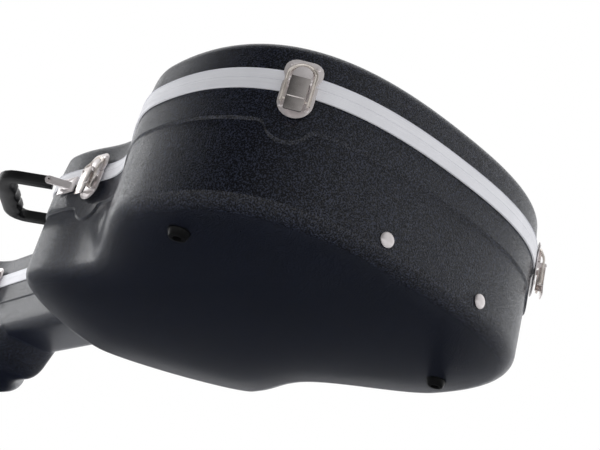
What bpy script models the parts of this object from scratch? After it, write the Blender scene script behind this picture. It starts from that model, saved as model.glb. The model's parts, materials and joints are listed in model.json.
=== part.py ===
# Hard-shell acoustic guitar case, lying on its back with the lid up.
# Metres, +Z up, +X towards the tail of the body, -Y the handle side.
import math

import bpy
import bmesh
from mathutils import Matrix, Vector
from mathutils.geometry import interpolate_bezier

MM = 0.001

# Body outline of the back face: half widths at four stations
TAIL_X = 0.2893
LOWER_BOUT_X = 0.1117
LOWER_BOUT_HALF = 0.2171
WAIST_X = -0.0558
WAIST_HALF = 0.1592
UPPER_BOUT_X = -0.1622
UPPER_BOUT_HALF = 0.1734
SHOULDER_X = -0.2925

# Bezier handle lengths that give the bouts their fullness
TAIL_HANDLE = 0.0963
LOWER_TAIL_HANDLE = 0.1651
LOWER_WAIST_HANDLE = 0.0508
WAIST_TAIL_HANDLE = 0.0548
WAIST_NECK_HANDLE = 0.0405
UPPER_WAIST_HANDLE = 0.0477
UPPER_NECK_HANDLE = 0.0414
SHOULDER_HANDLE = 0.0476

# Neck and headstock outline
NECK_HALF = 0.0464
NECK_FILLET = 0.026
NECK_END_X = -0.585
NECK_TAPER = 0.0010
HEAD_X = -0.705
HEAD_HALF = 0.0790
HEAD_END_X = -0.800
FLARE_NECK_HANDLE = 0.055
FLARE_HEAD_HANDLE = 0.045
HEAD_SIDE_HANDLE = 0.055
HEAD_END_HANDLE = 0.055

# Heights above the plane of the back face
PARTING_Z = 0.1219
VALANCE_BOTTOM_Z = 0.1116
VALANCE_TOP_Z = 0.1321
LID_TOP_Z = 0.1675
NECK_FLOOR_Z = 0.0330
HEAD_FLOOR_Z = -0.0080
BAND_Z = 0.0805

# Shell mouldings
WALL = 0.0030
WALL_DRAFT = 0.0018
BODY_CORNER_RADIUS = 0.0160
NECK_CORNER_RADIUS = 0.0180
HEAD_CORNER_RADIUS = 0.0220
HEAD_FRONT_X = -0.527
HEAD_FRONT_SLOPE = 0.70
BAND_PROUD = 0.0031
BAND_CHAMFER = 0.0025
LID_WALL = 0.0027
LID_CORNER_RADIUS = 0.0140
LID_DRAFT = 0.0015

# Aluminium valances
VALANCE_PROUD = 0.0051
VALANCE_WALL = 0.0017
VALANCE_CAP = 0.0018
REBATE_WALL = 0.0016
REBATE_HEIGHT = 0.0022
REBATE_CLEARANCE = 0.0006
PARTING_GAP = 0.0004
SEAT_GAP = 0.0003

# Plush-covered foam
LINING_SIDE = 0.0125
LINING_FLOOR = 0.0100
LINING_TOP_DROP = 0.0040
HOLLOW_CORNER_RADIUS = 0.0030
LID_PAD = 0.0100
LID_PAD_INSET = 0.0060
LID_PAD_CORNER = 0.0050
LID_PAD_CHAMFER = 0.0025

# Feet and tail studs
FOOT_HEIGHT = 0.0080
FOOT_BASE_RADIUS = 0.0105
FOOT_TIP_RADIUS = 0.0080
FOOT_RIM = 0.0016
FOOT_RECESS_RADIUS = 0.0042
FOOT_RECESS_DEPTH = 0.0035
FOOT_X = 0.145
FOOT_Y = 0.171
STUD_RADIUS = 0.0070
STUD_HEIGHT = 0.0045
STUD_RIM = 0.0012
STUD_STANDOFF = 0.0005
STUD_Y = 0.060
STUD_Z = 0.020

# Round tongues of the rim band below the latches
TONGUE_RADIUS = 0.0220
TONGUE_FILLET = 0.0070
TONGUE_BOTTOM_Z = 0.0640

# Draw latches
LATCH_HALF = 0.0155
LATCH_DROP = 0.0345
LATCH_SHEET = 0.0011
PLATE_SPLIT = 0.0006
STRIKE_HALF = 0.0170
STRIKE_FOOT_HALF = 0.0138
STRIKE_SHOULDER = 0.0085
STRIKE_RISE = 0.0230
STRIKE_CORNER = 0.0105
STRIKE_RIVET_X = 0.0112
STRIKE_RIVET_Z = 0.0172
BASE_RIVET_X = 0.0111
BASE_RIVET_Z = -0.0248
DOME_HALF = 0.0090
DOME_BOTTOM = 0.0012
DOME_TOP = 0.0152
DOME_PROUD = 0.0033
LEVER_HALF = 0.0082
LEVER_TOP = 0.0002
LEVER_BOTTOM = -0.0335
LEVER_FACE = 0.0110
LEVER_FLARE = 0.0008
LEVER_END_HALF = 0.0078
LEVER_FLARE_Z = -0.0210
LEVER_FLARE_ROUND = 0.0015
LEVER_GROOVE_Z = -0.0200
LEVER_GROOVE_WIDTH = 0.0010
LEVER_GROOVE_DEPTH = 0.0006
LEVER_PIVOT_DROP = 0.0032
LEVER_PIVOT_PROUD = 0.0087
FLANGE_TOP = -0.0004
FLANGE_BOTTOM = -0.0244
LEVER_FLANGE = 0.0061
EAR_SHEET = 0.0012
EAR_RADIUS = 0.0028
EAR_GAP = 0.0005
BAIL_PIVOT_DROP = 0.0213
BAIL_PIVOT_PROUD = 0.0075
BAIL_HALF = 0.0136
BAIL_STRIP = 0.0032
BAIL_TOP = 0.0190
BAIL_SHEET = 0.0021
BAIL_GROOVE = 0.0006
BAIL_CATCH_PROUD = 0.0031
BAIL_BEND_LOW = 0.0017
BAIL_BEND_HIGH = 0.0145
BAIL_FOOT = 0.0035
BAIL_STUB_RADIUS = 0.0010
LATCH_PIN_RADIUS = 0.0011
PIN_CLEARANCE = 0.0002
RIVET_RADIUS = 0.0022
RIVET_TIP_RADIUS = 0.0015
RIVET_PROUD = 0.0010
SEAM_BURY = 0.0004
STUB_BURY = 0.0010
LATCH_STATIONS = (
    ("tail_front", 0.2502, -1),
    ("bout_front", -0.0904, -1),
    ("tail_rear", 0.2391, 1),
    ("neck", -0.610, -1),
)

# Carrying handle on the front shoulder of the upper bout
HANDLE_PIVOT_X = -0.1423
HANDLE_STANDOFF = 0.0216
HANDLE_PIVOT_Z = 0.1107
HANDLE_TURN = math.radians(-33.6)
HANDLE_SPAN = 0.1235
HANDLE_REACH = 0.0635
HANDLE_DROOP = math.radians(7.7)
HANDLE_LEG_WIDTH = 0.0115
HANDLE_LEG_DEPTH = 0.0130
HANDLE_GRIP_WIDTH = 0.0225
HANDLE_FINGER_WAVE = 0.0014
HANDLE_FINGER_PITCH = 0.0240
HANDLE_LEG_ROUND = 0.0022
HANDLE_GRIP_ROUND = 0.0072
HANDLE_LEG_END = 0.0035
HANDLE_BEND = 0.0160
HANDLE_GRIP_DEPTH = 0.0200
HANDLE_EAR = 0.0025
HANDLE_EAR_RADIUS = 0.0048
HANDLE_EAR_ROOT = 0.0042
HANDLE_PIN_RADIUS = 0.0018
HANDLE_PIN_HEAD = 0.0012
HANDLE_PIN_END_GAP = 0.0010
HANDLE_SIDE_GAP = 0.0004
HANDLE_EAR_CLEARANCE = 0.0005
FLANGE_HALF = 0.0160
FLANGE_LEAD = 0.0060
FLANGE_SHEET = 0.0020
FLANGE_DROP = 0.0140
FLANGE_RISE = 0.0045
FLANGE_RIVETS = ((-0.0040, 0.0015), (-0.0098, -0.0088))

# Hinges on the rear side
HINGE_LENGTH = 0.056
HINGE_BARREL_RADIUS = 0.0028
HINGE_PIN_RADIUS = 0.0012
HINGE_LEAF = 0.0015
HINGE_LEAF_HEIGHT = 0.0215
HINGE_KNUCKLES = 5
HINGE_GAP = 0.0004
HINGE_ROOM = 0.0006

# Fittings inside the neck
CRADLE_X = -0.520
CRADLE_LENGTH = 0.050
CRADLE_HEIGHT = 0.050
CRADLE_NOTCH_RADIUS = 0.022
BOX_NEAR_X = -0.318
BOX_FAR_X = -0.478
BOX_WALL = 0.004
BOX_HEIGHT = 0.036
BOX_LID = 0.004
BOX_LID_RADIUS = 0.0022
BOX_FLOOR_INSET = 0.0010
BOX_CORNER_RISE = 0.0020
SIDE_CLEARANCE = 0.0002
TAB_LENGTH = 0.018
TAB_WIDTH = 0.016
TAB_SHEET = 0.0015
TAB_INSET = 0.004

# Fineness of the outline, and how deep joined forms start inside each other
MAX_TURN = math.radians(11.0)
MAX_STEP = 0.060
MIN_STEP = 0.0040
FORM_BURY = 0.0012
FORM_OVERLAP = 0.016
HEAD_BURY = 0.0004
HEAD_RISE = 0.026
RAW_TOP_Z = 0.1270
WELD_REACH = 0.00006
CUT_HEIGHT = 0.05
CUT_EXTRA = 0.002
BAND_BURY = 0.003
NECK_RAW_RISE = 0.001

for item in list(bpy.data.objects):
    bpy.data.objects.remove(item, do_unlink=True)

caseParts = bpy.data.collections.new("acoustic_guitar_case")
cutters = bpy.data.collections.new("case_cutters")
bpy.context.scene.collection.children.link(caseParts)
bpy.context.scene.collection.children.link(cutters)


def make_material(name, colour, roughness, metallic):
    material = bpy.data.materials.new(name)
    material.use_nodes = True
    shader = material.node_tree.nodes["Principled BSDF"]
    shader.inputs["Base Color"].default_value = (*colour, 1.0)
    shader.inputs["Roughness"].default_value = roughness
    shader.inputs["Metallic"].default_value = metallic
    return material


FINISHES = {
    "shell": ((0.018, 0.018, 0.020), 0.55, 0.0),
    "valance": ((0.74, 0.74, 0.78), 0.30, 1.0),
    "nickel": ((0.72, 0.69, 0.67), 0.18, 1.0),
    "plastic": ((0.012, 0.012, 0.014), 0.45, 0.0),
    "plush": ((0.030, 0.030, 0.034), 0.95, 0.0),
}


def add_object(name, mesh, finish, parent=None, matrix=None):
    piece = bpy.data.objects.new(name, mesh)
    caseParts.objects.link(piece)
    mesh.materials.append(make_material(name, *FINISHES[finish]))
    piece.parent = parent
    if matrix is not None:
        piece.matrix_local = matrix
    return piece


def add_empty(name, matrix, parent=None):
    empty = bpy.data.objects.new(name, None)
    caseParts.objects.link(empty)
    empty.parent = parent
    empty.matrix_local = matrix
    empty.empty_display_size = 0.02
    return empty


def boolean(piece, operation, name, mesh, matrix=None):
    """Joins a form to a piece or cuts it away; the form hangs on the piece's own parent."""
    cutter = bpy.data.objects.new(name, mesh)
    cutters.objects.link(cutter)
    cutter.hide_render = True
    cutter.display_type = "WIRE"
    cutter.parent = piece.parent
    if matrix is not None:
        cutter.matrix_local = matrix
    modifier = piece.modifiers.new(operation.lower() + "_" + name, "BOOLEAN")
    modifier.operation = operation
    modifier.object = cutter
    modifier.solver = "EXACT"


def weld(piece):
    """Closes the hair-thin edges that a joint between two walls can leave."""
    modifier = piece.modifiers.new("weld", "WELD")
    modifier.merge_threshold = WELD_REACH


def mesh_from(bm, name):
    bmesh.ops.recalc_face_normals(bm, faces=bm.faces[:])
    mesh = bpy.data.meshes.new(name)
    bm.to_mesh(mesh)
    bm.free()
    return mesh


def box_mesh(name, low, high):
    bm = bmesh.new()
    size = Vector(high) - Vector(low)
    centre = (Vector(high) + Vector(low)) / 2
    bmesh.ops.create_cube(bm, size=1.0, matrix=Matrix.Translation(centre) @ Matrix.Diagonal((*size, 1.0)))
    return mesh_from(bm, name)


def rod_mesh(name, radius, start, end, sides=16, end_radius=None):
    axis = Vector(end) - Vector(start)
    turn = Vector((0, 0, 1)).rotation_difference(axis).to_matrix().to_4x4()
    place = Matrix.Translation((Vector(start) + Vector(end)) / 2) @ turn
    bm = bmesh.new()
    bmesh.ops.create_cone(bm, cap_ends=True, segments=sides, radius1=radius,
                          radius2=radius if end_radius is None else end_radius, depth=axis.length, matrix=place)
    return mesh_from(bm, name)


def plate_mesh(name, outlines, thickness, matrix):
    """Flat plate from closed outlines in its own XY plane, centred on Z."""
    curve = bpy.data.curves.new(name, "CURVE")
    curve.dimensions = "2D"
    curve.fill_mode = "BOTH"
    curve.extrude = thickness / 2
    for outline in outlines:
        spline = curve.splines.new("POLY")
        spline.points.add(len(outline) - 1)
        for point, (x, y) in zip(spline.points, outline):
            point.co = (x, y, 0.0, 1.0)
        spline.use_cyclic_u = True
    holder = bpy.data.objects.new(name, curve)
    cutters.objects.link(holder)
    graph = bpy.context.evaluated_depsgraph_get()
    mesh = bpy.data.meshes.new_from_object(holder.evaluated_get(graph))
    bpy.data.objects.remove(holder, do_unlink=True)
    bm = bmesh.new()
    bm.from_mesh(mesh)
    bmesh.ops.remove_doubles(bm, verts=bm.verts[:], dist=0.00001)
    bm.transform(matrix)
    bpy.data.meshes.remove(mesh)
    return mesh_from(bm, name)


def arc(centre, radius, start, end, steps):
    """Points of an arc, with angles in degrees."""
    points = []
    for i in range(steps + 1):
        angle = math.radians(start + (end - start) * i / steps)
        points.append((centre[0] + radius * math.cos(angle), centre[1] + radius * math.sin(angle)))
    return points


def loft_mesh(name, rings, closed=False):
    """Skin through rings of equal length: a closed loop of rings, or capped at both ends."""
    bm = bmesh.new()
    rows = [[bm.verts.new(point) for point in ring] for ring in rings]
    pairs = list(zip(rows, rows[1:]))
    if closed:
        pairs.append((rows[-1], rows[0]))
    else:
        bm.faces.new(rows[0])
        bm.faces.new(rows[-1])
    for low, high in pairs:
        for i in range(len(low)):
            j = (i + 1) % len(low)
            bm.faces.new((low[i], low[j], high[j], high[i]))
    return mesh_from(bm, name)


def smooth_edges(mesh, angle=35.0):
    mesh.shade_smooth()
    mesh.set_sharp_from_angle(angle=math.radians(angle))


# Outline of the case: a dense half path from the tail centre to the head centre


def bezier_run(start, start_handle, end_handle, end, steps=48):
    points = interpolate_bezier(Vector(start), Vector(start_handle), Vector(end_handle), Vector(end), steps)
    return [Vector((p.x, p.y)) for p in points]


def body_half():
    lower, waist, upper = LOWER_BOUT_HALF, WAIST_HALF, UPPER_BOUT_HALF
    run = bezier_run((TAIL_X, 0, 0), (TAIL_X, TAIL_HANDLE, 0),
                     (LOWER_BOUT_X + LOWER_TAIL_HANDLE, lower, 0), (LOWER_BOUT_X, lower, 0))
    run += bezier_run((LOWER_BOUT_X, lower, 0), (LOWER_BOUT_X - LOWER_WAIST_HANDLE, lower, 0),
                      (WAIST_X + WAIST_TAIL_HANDLE, waist, 0), (WAIST_X, waist, 0))[1:]
    run += bezier_run((WAIST_X, waist, 0), (WAIST_X - WAIST_NECK_HANDLE, waist, 0),
                      (UPPER_BOUT_X + UPPER_WAIST_HANDLE, upper, 0), (UPPER_BOUT_X, upper, 0))[1:]
    run += bezier_run((UPPER_BOUT_X, upper, 0), (UPPER_BOUT_X - UPPER_NECK_HANDLE, upper, 0),
                      (SHOULDER_X, SHOULDER_HANDLE, 0), (SHOULDER_X, 0, 0))[1:]
    return run


def fillet_start():
    """Last point of the body outline before it turns into the neck."""
    return [point for point in body_half() if point.y > NECK_HALF + NECK_FILLET][-1]


def case_half():
    """Body outline down to the neck, a concave fillet, the neck side, the flare and the head end."""
    body = body_half()
    corner = fillet_start()
    last = body.index(corner)
    run = body[:last + 1]
    heading = (body[last + 1] - body[last]).normalized()
    neck_start = Vector((SHOULDER_X - NECK_FILLET * 0.7, NECK_HALF, 0))
    lead = (corner.y - NECK_HALF) * 0.62
    run += bezier_run((*corner, 0), (*(corner + heading * lead), 0),
                      neck_start + Vector((lead, 0, 0)), neck_start, 12)[1:]
    neck_end = Vector((NECK_END_X, NECK_HALF + NECK_TAPER, 0))
    run += [neck_start.lerp(neck_end, i / 8).xy for i in range(1, 9)]
    head = Vector((HEAD_X, HEAD_HALF, 0))
    run += bezier_run(neck_end, neck_end - Vector((FLARE_NECK_HANDLE, 0, 0)),
                      head + Vector((FLARE_HEAD_HANDLE, 0, 0)), head)[1:]
    run += bezier_run(head, head - Vector((HEAD_SIDE_HANDLE, 0, 0)),
                      (HEAD_END_X, HEAD_END_HANDLE, 0), (HEAD_END_X, 0, 0))[1:]
    return run


class WallPath:
    """Half outline as a polygon with outward normals, read by arc length; the other half mirrors it."""

    def __init__(self, dense, keep):
        normals = []
        for i in range(len(dense)):
            along = (dense[min(i + 1, len(dense) - 1)] - dense[max(i - 1, 0)]).normalized()
            normals.append(Vector((along.y, -along.x)))
        normals[0] = Vector((1.0, 0.0))
        normals[-1] = Vector((-1.0, 0.0))
        self.points, self.normals, self.lengths = [dense[0]], [normals[0]], [0.0]
        turned = 0.0
        for i in range(1, len(dense)):
            turned += abs(normals[i].angle_signed(normals[i - 1]))
            step = (dense[i] - self.points[-1]).length
            due = turned > MAX_TURN or step > MAX_STEP
            if dense[i] in (keep, dense[-1]) or (due and (dense[-1] - dense[i]).length > MIN_STEP):
                self.points.append(dense[i])
                self.normals.append(normals[i])
                self.lengths.append(self.lengths[-1] + step)
                turned = 0.0

    def at(self, length, offset=0.0, side=1):
        """Point and outward normal at an arc length from the tail, moved outwards by an offset."""
        length = min(max(length, 0.0), self.lengths[-1])
        i = 0
        while i < len(self.lengths) - 2 and self.lengths[i + 1] < length:
            i += 1
        share = (length - self.lengths[i]) / (self.lengths[i + 1] - self.lengths[i])
        start = self.points[i] + self.normals[i] * offset
        end = self.points[i + 1] + self.normals[i + 1] * offset
        point = start.lerp(end, share)
        normal = self.normals[i].lerp(self.normals[i + 1], share).normalized()
        return Vector((point.x, point.y * side)), Vector((normal.x, normal.y * side))

    def length_at_x(self, x):
        """Arc length where the outline passes a station along X."""
        i = 0
        while i < len(self.points) - 2 and self.points[i + 1].x > x:
            i += 1
        near, far = self.points[i].x, self.points[i + 1].x
        return self.lengths[i] + (self.lengths[i + 1] - self.lengths[i]) * (near - x) / (near - far)

    def after(self, x):
        """Arc lengths of the corners beyond a station along X."""
        return [length for length, point in zip(self.lengths, self.points) if point.x < x]


casePath = WallPath(case_half(), fillet_start())
bodyPath = WallPath(body_half(), fillet_start())


def full_ring(path, offset, z):
    """Closed ring of both halves at one offset and height."""
    ring = [(*path.at(s, offset)[0], z) for s in path.lengths]
    ring += [(*path.at(s, offset, -1)[0], z) for s in reversed(path.lengths[1:-1])]
    return ring


def mirrored_ring(near, z):
    """Closed ring from one half's points, from the first across the head end to its mirror."""
    return [(*p, z) for p in near] + [(p.x, -p.y, z) for p in reversed(near[:-1])]


def neck_ring(offset, z):
    """Ring of the neck and head outline, which starts inside the body at the fillets."""
    start = casePath.length_at_x(fillet_start().x)
    first = casePath.at(start, offset - FORM_BURY)[0]
    near = [first + Vector((FORM_OVERLAP, -FORM_OVERLAP)), first]
    near += [casePath.at(s, offset)[0] for s in casePath.lengths if s > start + MIN_STEP]
    return mirrored_ring(near, z)


def head_ring(offset, z, inset):
    """Ring of the headstock box, whose front wall slopes back as it goes down."""
    front = HEAD_FRONT_X - (NECK_FLOOR_Z - z) * HEAD_FRONT_SLOPE - inset - max(-offset - inset, 0.0)
    near = [casePath.at(s, offset - HEAD_BURY)[0] for s in casePath.after(HEAD_FRONT_X + MAX_STEP)]
    return mirrored_ring([Vector((min(p.x, front - i * 0.0001), p.y)) for i, p in enumerate(near)], z)


def wall_draft(z):
    """How far the wall leans out at a height."""
    return WALL_DRAFT * max(z - BODY_CORNER_RADIUS, 0.0) / (PARTING_Z - BODY_CORNER_RADIUS)


def tub_levels(inset, floor, top, corner, steps):
    """Offsets and heights up a tub wall: a rounded floor corner, then the drafted wall."""
    levels = []
    for i in range(steps + 1):
        angle = math.radians(90.0 * i / steps)
        z = floor + corner * (1 - math.cos(angle))
        levels.append((wall_draft(z) - inset - corner * (1 - math.sin(angle)), z))
    levels.append((wall_draft(top) - inset, top))
    return levels


def cut_above(piece, name, z):
    reach = casePath.lengths[-1]
    slab = box_mesh(name, (-reach, -reach, z), (reach, reach, z + CUT_HEIGHT))
    boolean(piece, "DIFFERENCE", name, slab)


def tub_forms(label, inset, lift, corner_cut, steps):
    """Body, neck and headstock tubs of one inset: the forms that the mouldings are joined from."""
    top, neck_floor = RAW_TOP_Z + lift, NECK_FLOOR_Z + lift
    body_levels = tub_levels(inset, lift, top, BODY_CORNER_RADIUS - corner_cut, steps)
    neck_levels = tub_levels(inset, neck_floor, top + NECK_RAW_RISE, NECK_CORNER_RADIUS - corner_cut, steps)
    head_levels = tub_levels(inset, HEAD_FLOOR_Z + lift, neck_floor + HEAD_RISE,
                             HEAD_CORNER_RADIUS - corner_cut, steps)
    return (loft_mesh(label + "_body", [full_ring(bodyPath, o, z) for o, z in body_levels]),
            loft_mesh(label + "_neck", [neck_ring(o, z) for o, z in neck_levels]),
            loft_mesh(label + "_head", [head_ring(o, z, inset) for o, z in head_levels]))


def join_forms(piece, operation, forms):
    for form in forms:
        boolean(piece, operation, form.name + "_" + operation.lower(), form)


# Bottom shell


def tongue_run():
    """Distance along the wall and height of the band's lower edge, across one tongue."""
    centre_z = TONGUE_BOTTOM_Z + TONGUE_RADIUS
    fillet_z = BAND_Z - TONGUE_FILLET
    apart = TONGUE_RADIUS + TONGUE_FILLET
    fillet_x = math.sqrt(apart ** 2 - (centre_z - fillet_z) ** 2)
    lean = math.degrees(math.atan2(centre_z - fillet_z, fillet_x))
    run = arc((0.0, centre_z), TONGUE_RADIUS, -90, -lean, 6)
    run += arc((fillet_x, fillet_z), TONGUE_FILLET, 180 - lean, 90, 3)[1:]
    return [(-x, z) for x, z in reversed(run[1:])] + run


def band_marks(side):
    """Arc lengths and lower edge heights of the band along one side, closer at each tongue."""
    run = tongue_run()
    reach = run[-1][0]
    marks = [(length, BAND_Z) for length in casePath.lengths]
    for label, x, latch_side in LATCH_STATIONS:
        if latch_side == side:
            middle = casePath.length_at_x(x)
            marks = [mark for mark in marks if abs(mark[0] - middle) > reach + 0.003]
            marks += [(middle + along, z) for along, z in run]
    return sorted(marks)


def band_rings():
    """Rim band that stands proud of the wall, as a closed section swept round the case."""
    near, far = band_marks(1), band_marks(-1)[1:-1]
    inner = -WALL * 0.4
    top = PARTING_Z + BAND_BURY
    rings = []
    for offset, rise, fixed in ((BAND_PROUD, BAND_CHAMFER, None), (BAND_PROUD, 0.0, top),
                                (inner, 0.0, top), (inner, 0.0, None)):
        ring = [(*casePath.at(s, offset)[0], fixed or z + rise) for s, z in near]
        ring += [(*casePath.at(s, offset, -1)[0], fixed or z + rise) for s, z in reversed(far)]
        rings.append(ring)
    return rings


def build_bottom_shell(root):
    rim_z = PARTING_Z - VALANCE_CAP - SEAT_GAP
    body, neck, head = tub_forms("shell", 0.0, 0.0, 0.0, 4)
    shell = add_object("bottom_shell", body, "shell", root)
    join_forms(shell, "UNION", (neck, head, loft_mesh("shell_band", band_rings(), closed=True)))
    weld(shell)
    join_forms(shell, "DIFFERENCE", tub_forms("cavity", WALL, WALL, WALL, 2))
    cut_above(shell, "rim_cut", rim_z)
    weld(shell)
    return shell


def build_bottom_lining(root):
    """Foam that fills the shell's wall line, hollowed for the guitar."""
    gap = WALL + SEAT_GAP
    top = PARTING_Z - LINING_TOP_DROP
    body, neck, head = tub_forms("lining", gap, gap, gap, 2)
    lining = add_object("bottom_lining", body, "plush", root)
    join_forms(lining, "UNION", (neck, head))
    corner_cut = BODY_CORNER_RADIUS - HOLLOW_CORNER_RADIUS
    hollow = tub_forms("hollow", gap + LINING_SIDE, gap + LINING_FLOOR, corner_cut, 2)
    join_forms(lining, "DIFFERENCE", hollow)
    cut_above(lining, "lining_cut", top)
    weld(lining)
    return lining


# Valances and lid


def build_valances(root):
    web = VALANCE_PROUD - VALANCE_WALL
    inner = wall_draft(PARTING_Z) - WALL
    lip = inner + REBATE_WALL
    lower = [(VALANCE_PROUD, VALANCE_BOTTOM_Z), (VALANCE_PROUD, PARTING_Z), (lip, PARTING_Z),
             (lip, PARTING_Z + REBATE_HEIGHT), (inner, PARTING_Z + REBATE_HEIGHT),
             (inner, PARTING_Z - VALANCE_CAP), (web, PARTING_Z - VALANCE_CAP), (web, VALANCE_BOTTOM_Z)]
    rings = [full_ring(casePath, o, z) for o, z in lower]
    add_object("bottom_valance", loft_mesh("bottom_valance", rings, closed=True), "valance", root)
    seat = PARTING_Z + PARTING_GAP
    inboard = lip + REBATE_CLEARANCE
    upper = [(VALANCE_PROUD, seat), (VALANCE_PROUD, VALANCE_TOP_Z), (web, VALANCE_TOP_Z),
             (web, seat + VALANCE_CAP), (inboard, seat + VALANCE_CAP), (inboard, seat)]
    rings = [full_ring(casePath, o, z) for o, z in upper]
    return loft_mesh("lid_valance", rings, closed=True)


def lid_shell_mesh():
    low = PARTING_Z + PARTING_GAP + VALANCE_CAP + SEAT_GAP
    outer = BAND_PROUD
    inner = outer - LID_WALL
    levels = []
    for i in range(5):
        angle = math.radians(90.0 * i / 4)
        levels.append((outer - LID_DRAFT - LID_CORNER_RADIUS * (1 - math.sin(angle)),
                       LID_TOP_Z - LID_CORNER_RADIUS * (1 - math.cos(angle))))
    levels.append((outer, VALANCE_TOP_Z))
    levels.append((outer, low))
    levels.append((inner, low))
    levels.append((inner, VALANCE_TOP_Z))
    bend = LID_CORNER_RADIUS - LID_WALL
    for i in range(2, -1, -1):
        angle = math.radians(90.0 * i / 2)
        levels.append((inner - LID_DRAFT - bend * (1 - math.sin(angle)),
                       LID_TOP_Z - LID_WALL - bend * (1 - math.cos(angle))))
    return loft_mesh("lid_shell", [full_ring(casePath, o, z) for o, z in levels])


def lid_pad_mesh():
    top = LID_TOP_Z - LID_WALL - SEAT_GAP
    side = BAND_PROUD - LID_WALL - LID_DRAFT - LID_PAD_INSET
    levels = [(side - LID_CORNER_RADIUS, top), (side - LID_PAD_CORNER, top - LID_PAD_CORNER),
              (side - LID_PAD_CORNER, top - LID_PAD + LID_PAD_CHAMFER),
              (side - LID_PAD_CORNER - LID_PAD_CHAMFER, top - LID_PAD)]
    return loft_mesh("lid_lining", [full_ring(casePath, o, z) for o, z in levels])


def hinge_line():
    """Line that touches both bouts on the rear side, outside the valance by the barrel."""
    points = [casePath.at(s, VALANCE_PROUD)[0] for s in casePath.lengths]
    normal = Vector((0.0, 1.0))
    for _ in range(12):
        low = max((p for p in points if p.x > WAIST_X), key=lambda p: p.dot(normal))
        high = max((p for p in points if p.x < WAIST_X), key=lambda p: p.dot(normal))
        along = (low - high).normalized()
        normal = Vector((-along.y, along.x))
    standoff = SEAT_GAP + HINGE_BARREL_RADIUS
    return low, high, along, normal, standoff


def build_hinge(name, touch, along, normal, standoff, root, lid_axis, lid_frame):
    """Butt hinge: three lower knuckles, two upper ones, and the pin through them."""
    z = PARTING_Z + PARTING_GAP / 2
    turn = Matrix(((along.x, normal.x, 0, 0), (along.y, normal.y, 0, 0), (0, 0, 1, 0), (0, 0, 0, 1)))
    centre = touch + normal * standoff
    frame = Matrix.Translation((centre.x, centre.y, z)) @ turn
    half = HINGE_LENGTH / 2
    pitch = HINGE_LENGTH / HINGE_KNUCKLES
    inside = -HINGE_BARREL_RADIUS
    for leaf, sign, parity in (("lower", -1, 0), ("upper", 1, 1)):
        low, high = sorted((0.0, sign * HINGE_LEAF_HEIGHT))
        plate = box_mesh(name + leaf, (-half, inside, low), (half, inside + HINGE_LEAF, high))
        owner = root if leaf == "lower" else lid_axis
        matrix = frame if leaf == "lower" else lid_frame.inverted() @ frame
        piece = add_object(f"{name}_{leaf}_leaf", plate, "nickel", owner, matrix)
        barrel = rod_mesh(name + leaf + "barrel", HINGE_BARREL_RADIUS, (-half, 0, 0), (half, 0, 0))
        boolean(piece, "UNION", f"{name}_{leaf}_barrel", barrel, matrix)
        for k in range(HINGE_KNUCKLES):
            if k % 2 == parity:
                continue
            low = -half + k * pitch - HINGE_GAP / 2 - (CUT_EXTRA if k == 0 else 0)
            high = low + pitch + HINGE_GAP + (CUT_EXTRA if k in (0, HINGE_KNUCKLES - 1) else 0)
            room = HINGE_BARREL_RADIUS + HINGE_ROOM
            gap = box_mesh(name + leaf + "gap", (low, -room, -room), (high, room, room))
            boolean(piece, "DIFFERENCE", f"{name}_{leaf}_gap_{k}", gap, matrix)
        reach = half + CUT_EXTRA
        bore = rod_mesh(name + leaf + "bore", HINGE_PIN_RADIUS + PIN_CLEARANCE, (-reach, 0, 0), (reach, 0, 0))
        boolean(piece, "DIFFERENCE", f"{name}_{leaf}_bore", bore, matrix)
    pin = rod_mesh(name + "pin", HINGE_PIN_RADIUS, (-half, 0, 0), (half, 0, 0), 12)
    add_object(f"{name}_pin", pin, "nickel", root, frame)


# Feet and studs


def turned_mesh(name, profile, steps=20):
    """Solid of revolution about Z from a profile of radius and height, top to bottom."""
    bm = bmesh.new()
    verts = [bm.verts.new((radius, 0, z)) for radius, z in profile]
    edges = [bm.edges.new(pair) for pair in zip(verts, verts[1:])]
    bmesh.ops.spin(bm, geom=verts + edges, cent=(0, 0, 0), axis=(0, 0, 1), angle=2 * math.pi, steps=steps,
                   use_merge=True)
    bmesh.ops.remove_doubles(bm, verts=bm.verts[:], dist=0.00001)
    return mesh_from(bm, name)


def build_feet(root):
    for label, side in (("front", -1), ("rear", 1)):
        recess_z = -FOOT_HEIGHT + FOOT_RECESS_DEPTH
        profile = [(0.0, -SEAT_GAP), (FOOT_BASE_RADIUS, -SEAT_GAP), (FOOT_BASE_RADIUS, -FOOT_RIM),
                   (FOOT_TIP_RADIUS, -FOOT_HEIGHT), (FOOT_RECESS_RADIUS, -FOOT_HEIGHT),
                   (FOOT_RECESS_RADIUS, recess_z), (0.0, recess_z)]
        place = Matrix.Translation((FOOT_X, side * FOOT_Y, 0))
        foot = add_object(f"back_foot_{label}", turned_mesh("foot", profile), "plastic", root, place)
        smooth_edges(foot.data)
    for label, side in (("front", -1), ("rear", 1)):
        length = 0.0
        while bodyPath.at(length)[0].y < STUD_Y:
            length += 0.0005
        point, normal = bodyPath.at(length, wall_draft(STUD_Z), side)
        profile = [(0.0, STUD_HEIGHT)]
        profile += [(STUD_RADIUS * math.sin(math.radians(a)),
                     STUD_RIM + (STUD_HEIGHT - STUD_RIM) * math.cos(math.radians(a))) for a in (25, 50, 72, 90)]
        profile += [(STUD_RADIUS, STUD_STANDOFF), (0.0, STUD_STANDOFF)]
        turn = Vector((0, 0, 1)).rotation_difference(Vector((*normal, 0))).to_matrix().to_4x4()
        place = Matrix.Translation((*point, STUD_Z)) @ turn
        stud = add_object(f"tail_stud_{label}", turned_mesh("stud", profile), "nickel", root, place)
        smooth_edges(stud.data)


# Draw latches


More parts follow.
